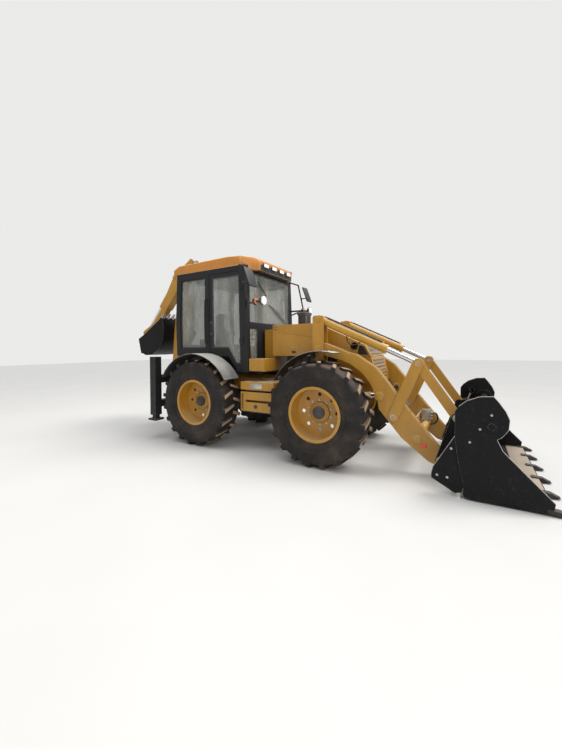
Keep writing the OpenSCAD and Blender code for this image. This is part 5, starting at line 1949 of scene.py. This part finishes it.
@dataclass
class Seat:
    """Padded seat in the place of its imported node."""

    x: float = -2.19
    cushion_half: float = 0.235
    back_half: float = 0.215
    channel: float = 0.006
    fill: float = 0.8

    def pad(self, name: str, low: Point, high: Point, crown: Crown) -> None:
        """Makes one crowned cushion from a divided cube.

        Args:
            name: Name of the cushion.
            low: Lowest corner.
            high: Highest corner.
            crown: Gives the shift of a point from its place in the box, each axis from -1 to 1.
        """
        sheet = Sheet()
        size = Vector(high) - Vector(low)
        middle = (Vector(low) + Vector(high)) / 2
        verts = bmesh.ops.create_cube(sheet.bm, size=2.0)["verts"]
        bmesh.ops.subdivide_edges(sheet.bm, edges=list(sheet.bm.edges), cuts=9, use_grid_fill=True)
        for _ in range(3):
            axes = {f"use_axis_{axis}": True for axis in "xyz"}
            bmesh.ops.smooth_vert(sheet.bm, verts=list(sheet.bm.verts), factor=0.5, **axes)
        reach = [max(abs(v.co[i]) for v in sheet.bm.verts) for i in range(3)]
        for vert in sheet.bm.verts:
            u = Vector(vert.co[i] / reach[i] for i in range(3))
            shift = crown(*u)
            local = Vector(u[i] * size[i] / 2 + shift[i] for i in range(3))
            vert.co = at(*(middle + local))
        piece = sheet.finish(name, "seat", Finishes.CLOTH, "fabric", ("seat",), 180.0)
        smooth = piece.modifiers.new("soft", "SUBSURF")
        smooth.levels = smooth.render_levels = 1

    def cushion_crown(self, u: float, v: float, w: float) -> Point:
        """Hollow of the cushion's top, its drawn-in sides and its sewn channels.

        Args:
            u: Place from back to front.
            v: Place from side to side.
            w: Place from bottom to top.

        Returns:
            The shift of the point.
        """
        top = max(0.0, w)
        channel = self.channel * math.exp(-((abs(v) - 0.62) ** 2) / 0.004) * top
        hollow = 0.014 * top * (1 - u * u) * (1 - v * v)
        return (-0.006 * (1 - v * v) * u, -0.008 * (1 - u * u) * v, -hollow - channel)

    def back_crown(self, u: float, v: float, w: float) -> Point:
        """Hollow of the backrest, its drawn-in sides and its sewn channels.

        Args:
            u: Place from back to front.
            v: Place from side to side.
            w: Place from bottom to top.

        Returns:
            The shift of the point.
        """
        face = max(0.0, u)
        channel = self.channel * math.exp(-((abs(v) - 0.6) ** 2) / 0.004) * face
        hollow = 0.012 * face * (1 - v * v) * (1 - w * w)
        return (-hollow - channel, -0.008 * (1 - w * w) * v, 0.0)

    def build(self) -> None:
        """Builds the cushions, the shell and the pedestal."""
        x = self.x
        cushion, back = self.cushion_half, self.back_half
        self.pad("seat_cushion", (x - 0.195, -cushion, 1.60), (x + 0.24, cushion, 1.70), self.cushion_crown)
        self.pad("seat_back", (x - 0.285, -back, 1.72), (x - 0.19, back, 2.30), self.back_crown)
        shell = Sheet()
        shell.box((x - 0.23, -0.225, 1.578), (x + 0.225, 0.225, 1.604), 0.008)
        shell.box((x - 0.31, -0.205, 1.70), (x - 0.276, 0.205, 2.27), 0.012)
        shell.rod((x, 0.0, 1.541), (x, 0.0, 1.585), 0.060, 32)
        shell.box((x - 0.30, -0.19, 1.59), (x - 0.18, 0.19, 1.73), 0.010)
        shell.finish("seat_shell", "seat", Finishes.PLASTIC, "fabric", ("seat",))


# Guards, rear frame and hoe


@dataclass
class Guards:
    """Rolled rims, bolts and stay pads of the mudguards."""

    front_centre: SidePoint = (0.026, 0.755)
    front_radius: float = 0.811
    rear_radius: float = 0.81

    def rim(self, name: str, centre: SidePoint, radius: float, turn: tuple[float, float], y: float) -> None:
        """Adds the rolled rim of one guard.

        Args:
            name: Name of the rim.
            centre: Middle of its arc.
            radius: Radius of the guard.
            turn: Angles in degrees at which the arc starts and ends.
            y: Plane of the rim.
        """
        cx, cz = centre
        first, last = turn
        points = []
        for i in range(9):
            a = math.radians(first + (last - first) * i / 8)
            points.append((cx + (radius + 0.004) * math.cos(a), y, cz + (radius + 0.004) * math.sin(a)))
        pipe(name, "root", points, 0.007, Finishes.FENDER, 8)

    def build(self) -> None:
        """Builds the rims, stays and bolts."""
        stays = Sheet()
        for s, word in ((1, "left"), (-1, "right")):
            front, rear = f"front_guard_rim_{word}", f"rear_guard_rim_{word}"
            self.rim(front, self.front_centre, self.front_radius, (76, 151), s * 0.993)
            self.rim(rear, (-WHEELBASE, AXLE_Z), self.rear_radius, (31, 149), s * 1.158)
            for degrees in (84, 112, 140):
                a, r = math.radians(degrees), self.front_radius + 0.012
                way = (math.cos(a), 0, math.sin(a))
                x = self.front_centre[0] + r * way[0]
                z = self.front_centre[1] + r * way[2]
                for y in (0.73, 0.90):
                    stays.bolt((x, s * y, z), way, 0.008)
            low, high = span(s * 0.6795, s * 0.720)
            stays.box((-0.190, low, 1.455), (-0.170, high, 1.555), 0.003)
        stays.finish("guard_bolts", "root", Finishes.PLASTIC, "black_plastic")


@dataclass
class RearFrame:
    """Bolts, pads and lamps of the stabiliser frame and the carriage."""

    x0: float = -3.25
    leg_y: float = 1.078
    leg_x: float = -3.18

    def build(self) -> None:
        """Builds the rear frame's dressing."""
        sheet = Sheet()
        for s in (-1, 1):
            for z in (0.50, 0.80, 1.10, 1.42):
                for dx in (-0.045, 0.045):
                    sheet.bolt((self.leg_x + dx, s * (self.leg_y + 0.072), z), (0, s, 0), 0.010)
            for z in (0.592, 0.648, 1.032, 1.108):
                for y in (0.885, 0.955):
                    sheet.bolt((self.x0, s * y, z), (-1, 0, 0), 0.009)
        sheet.finish("frame_bolts", "root", Finishes.BLACK, "black_paint")
        for s, word in ((1, "left"), (-1, "right")):
            pad = Sheet()
            low, high = span(s * (self.leg_y - 0.09), s * (self.leg_y + 0.09))
            for i in range(4):
                x = self.leg_x - 0.085 + i * 0.05
                pad.box((x, low, 0.321), (x + 0.02, high, 0.331), 0.003)
            pad.rod((self.leg_x, s * self.leg_y, 1.438), (self.leg_x, s * self.leg_y, 1.452), 0.030, 24)
            pad.finish(f"leg_pad_{word}", f"stabiliser_{word}", Finishes.BLACK, "black_paint")
            low, high = span(s * 0.93, s * 1.06)
            lens = Sheet()
            lens.box((self.x0 - 0.022, low, 1.20), (self.x0 - 0.0005, high, 1.26), 0.005)
            lens.finish(f"tail_lens_{word}", "root", Finishes.RED_LENS, "lamp")
        plate = Sheet()
        for s in (-1, 1):
            for z in (0.555, 1.145):
                for y in (0.08, 0.16, 0.24):
                    plate.bolt((-3.2948, s * y, z), (-1, 0, 0), 0.012)
        plate.finish("carriage_bolts", "carriage", Finishes.STEEL, "steel")


@dataclass
class Hoe:
    """Pin caps, hoses, weld beads and teeth of the hoe."""

    foot: SidePoint = (-3.840, 0.600)
    base: SidePoint = (-3.620, 1.130)
    boom_length: float = 2.650
    dipper_length: float = 1.700
    boom_angle: float = 83.0
    dipper_angle: float = -131.0
    bucket_angle: float = 30.0
    pipe_y: float = 0.0995
    pipe_gap: float = 0.026
    tooth_count: int = 5

    def _beside(self, start: SidePoint, angle: float, along: float, out: float) -> SidePoint:
        """Side-view point along a line from its start and out to its right."""
        a = math.radians(angle)
        x, z = start
        return (
            x + along * math.cos(a) + out * math.sin(a),
            z + along * math.sin(a) - out * math.cos(a),
        )

    def on_boom(self, along: float, out: float) -> SidePoint:
        """Side-view point along the boom and out on its front side."""
        return self._beside(self.foot, self.boom_angle, along, out)

    def on_dipper(self, along: float, out: float) -> SidePoint:
        """Side-view point along the dipper and out on its outer side."""
        return self._beside(self.on_boom(self.boom_length, 0.0), self.dipper_angle, along, out)

    def in_bucket(self, angle: float, radius: float) -> SidePoint:
        """Side-view point of the bucket from the dipper's pin."""
        tip = self.on_dipper(self.dipper_length, 0.0)
        return self._beside(tip, self.bucket_angle + angle, radius, 0.0)

    def pipe_along(self, name: str, body: str, way: Sequence[SidePoint]) -> None:
        """Lays one hard pipe on the left side of a beam."""
        pipe(name, body, [(x, self.pipe_y, z) for x, z in way], 0.0085, Finishes.HOSE)

    def boom_trim(self) -> None:
        """Adds the boom's caps, welds and hoses."""
        sheet = Sheet()
        sheet.pin_cap(self.on_boom(1.650, -0.029), 0.098, 1, 0.052, 3)
        for along, out in ((0.75, 0.08), (1.9, 0.10), (2.1, 0.06)):
            x, z = self.on_boom(along, out)
            sheet.bolt((x, 0.090, z), (0, 1, 0), 0.010)
        for way in (
            ((0.66, 0.052), (1.10, 0.183)),
            ((0.62, -0.1), (1.50, -0.11), (2.20, -0.082)),
        ):
            sheet.bead([self.on_boom(*spot) for spot in way], 0.078, 0.005)
        sheet.mirrored()
        sheet.finish("boom_fittings", "boom", Finishes.YELLOW, "yellow_paint")
        route = ((0.30, -0.02), (0.80, -0.035), (1.40, -0.06), (2.00, -0.02), (2.35, 0.0))
        for i in range(2):
            way = [self.on_boom(along, out + i * self.pipe_gap) for along, out in route]
            self.pipe_along(f"boom_pipe_{i}", "boom", way)
            clamps = Sheet()
            for along, out in route[1:4]:
                x, z = self.on_boom(along, out + self.pipe_gap / 2)
                clamps.box((x - 0.030, 0.089, z - 0.012), (x + 0.030, 0.111, z + 0.012), 0.003)
            clamps.finish(f"boom_clamps_{i}", "boom", Finishes.PLASTIC, "black_plastic")

    def dipper_trim(self) -> None:
        """Adds the dipper's caps and hoses."""
        sheet = Sheet()
        head = self.on_boom(self.boom_length, 0.0)
        sheet.pin_cap(head, 0.098, 1, 0.055, 3)
        sheet.pin_cap(self.on_dipper(0.2, 0.15), 0.098, 1, 0.040, 2)
        sheet.bead([self.on_dipper(0.45, -0.100), self.on_dipper(0.88, -0.088)], 0.079, 0.005)
        sheet.mirrored()
        sheet.finish("dipper_fittings", "dipper", Finishes.YELLOW, "yellow_paint")
        route = ((0.14, 0.02), (0.40, 0.0), (0.70, 0.01), (0.86, 0.02))
        for i in range(2):
            way = [self.on_dipper(along, out + i * self.pipe_gap) for along, out in route]
            self.pipe_along(f"dipper_pipe_{i}", "dipper", way)

    def bucket_trim(self) -> None:
        """Adds the hoe bucket's bright teeth, its bolts and a pin cap."""
        teeth = Sheet()
        corners = ((-6, 0.742), (-5, 0.793), (0, 0.8805), (-0.7, 0.782), (-1.6, 0.742))
        outline = [self.in_bucket(angle, radius) for angle, radius in corners]
        for i in range(self.tooth_count):
            y = -0.26 + i * 0.13
            teeth.plate(outline, (y - 0.028, y + 0.028), 0.003)
        teeth.finish("hoe_teeth", "hoe_bucket", Finishes.EDGE_STEEL, "black_paint")
        sheet = Sheet()
        for angle, radius in ((-10, 0.72), (-30, 0.70), (-55, 0.63), (-80, 0.53), (-100, 0.44)):
            x, z = self.in_bucket(angle, radius)
            sheet.bolt((x, 0.300, z), (0, 1, 0), 0.010)
        sheet.pin_cap(self.in_bucket(0, 0.0), 0.128, 1, 0.026, 1)
        sheet.mirrored()
        sheet.finish("hoe_bucket_bolts", "hoe_bucket", Finishes.BUCKET, "black_paint")

    def post_trim(self) -> None:
        """Adds the slewing post's caps."""
        sheet = Sheet()
        sheet.pin_cap(self.foot, 0.130, 1, 0.056, 3)
        sheet.pin_cap(self.base, 0.100, 1, 0.044, 2)
        sheet.mirrored()
        sheet.finish("post_caps", "swing_post", Finishes.STEEL, "steel")

    def build(self) -> None:
        """Builds the hoe's dressing."""
        self.boom_trim()
        self.dipper_trim()
        self.bucket_trim()
        self.post_trim()


@dataclass
class Driveline:
    """Visible details of the engine, the axles and the drive shaft."""

    case_bolts: int = 12
    case_ring: float = 0.145
    case_face: float = 0.1195
    shaft_z: float = 0.78
    block_face: float = 0.24

    def axles(self) -> None:
        """Adds the bolts of the axle cases and the drive shaft."""
        sheet = Sheet()
        for x in (0.0, -WHEELBASE):
            for i in range(self.case_bolts):
                a = math.tau * i / self.case_bolts
                dx, dz = self.case_ring * math.cos(a), self.case_ring * math.sin(a)
                for s in (1, -1):
                    sheet.bolt((x + dx, s * self.case_face, AXLE_Z + dz), (0, s, 0), 0.010)
        for x0, x1, radius in ((-0.30, -1.95, 0.038), (-0.36, -0.28, 0.062), (-1.97, -1.89, 0.062)):
            sheet.rod((x0, 0.0, self.shaft_z), (x1, 0.0, self.shaft_z), radius, 24)
        sheet.finish("axle_bolts", "root", Finishes.IRON, "dark_metal")

    def engine(self) -> None:
        """Adds the ribs, the filter and the pump ends of the engine."""
        block = Sheet()
        face = self.block_face
        for i in range(6):
            x = -0.80 + i * 0.14
            for s in (1, -1):
                low, high = span(s * (face - 0.002), s * (face + 0.022))
                block.box((x, low, 1.05), (x + 0.05, high, 1.60), 0.006)
        block.rod((-0.50, -face, 1.30), (-0.50, -0.30, 1.30), 0.085, 32)
        for s in (-1, 1):
            block.rod((-0.20, s * face, 1.45), (-0.20, s * 0.31, 1.45), 0.050, 28)
        block.finish("engine_parts", "root", Finishes.IRON, "dark_metal")

    def build(self) -> None:
        """Builds the driveline's details."""
        self.axles()
        self.engine()


def main() -> None:
    """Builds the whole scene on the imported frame."""
    logging.basicConfig(level=logging.INFO, format="%(name)s %(message)s")
    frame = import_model()
    bpy.context.scene.view_settings.view_transform = "Standard"
    bodies = {
        node: body
        for body, names in frame["record"]["behaviour"]["bodies"].items()
        for node in names
    }
    Studio().build()
    Coats(frame["nodes"], bodies).build()
    for kind in (Wheels, Hood, Loader, Bucket, Cab, Seat, Guards, RearFrame, Hoe, Driveline):
        LOG.info("building %s", kind.__name__)
        kind().build()


if __name__ == "__main__":
    main()
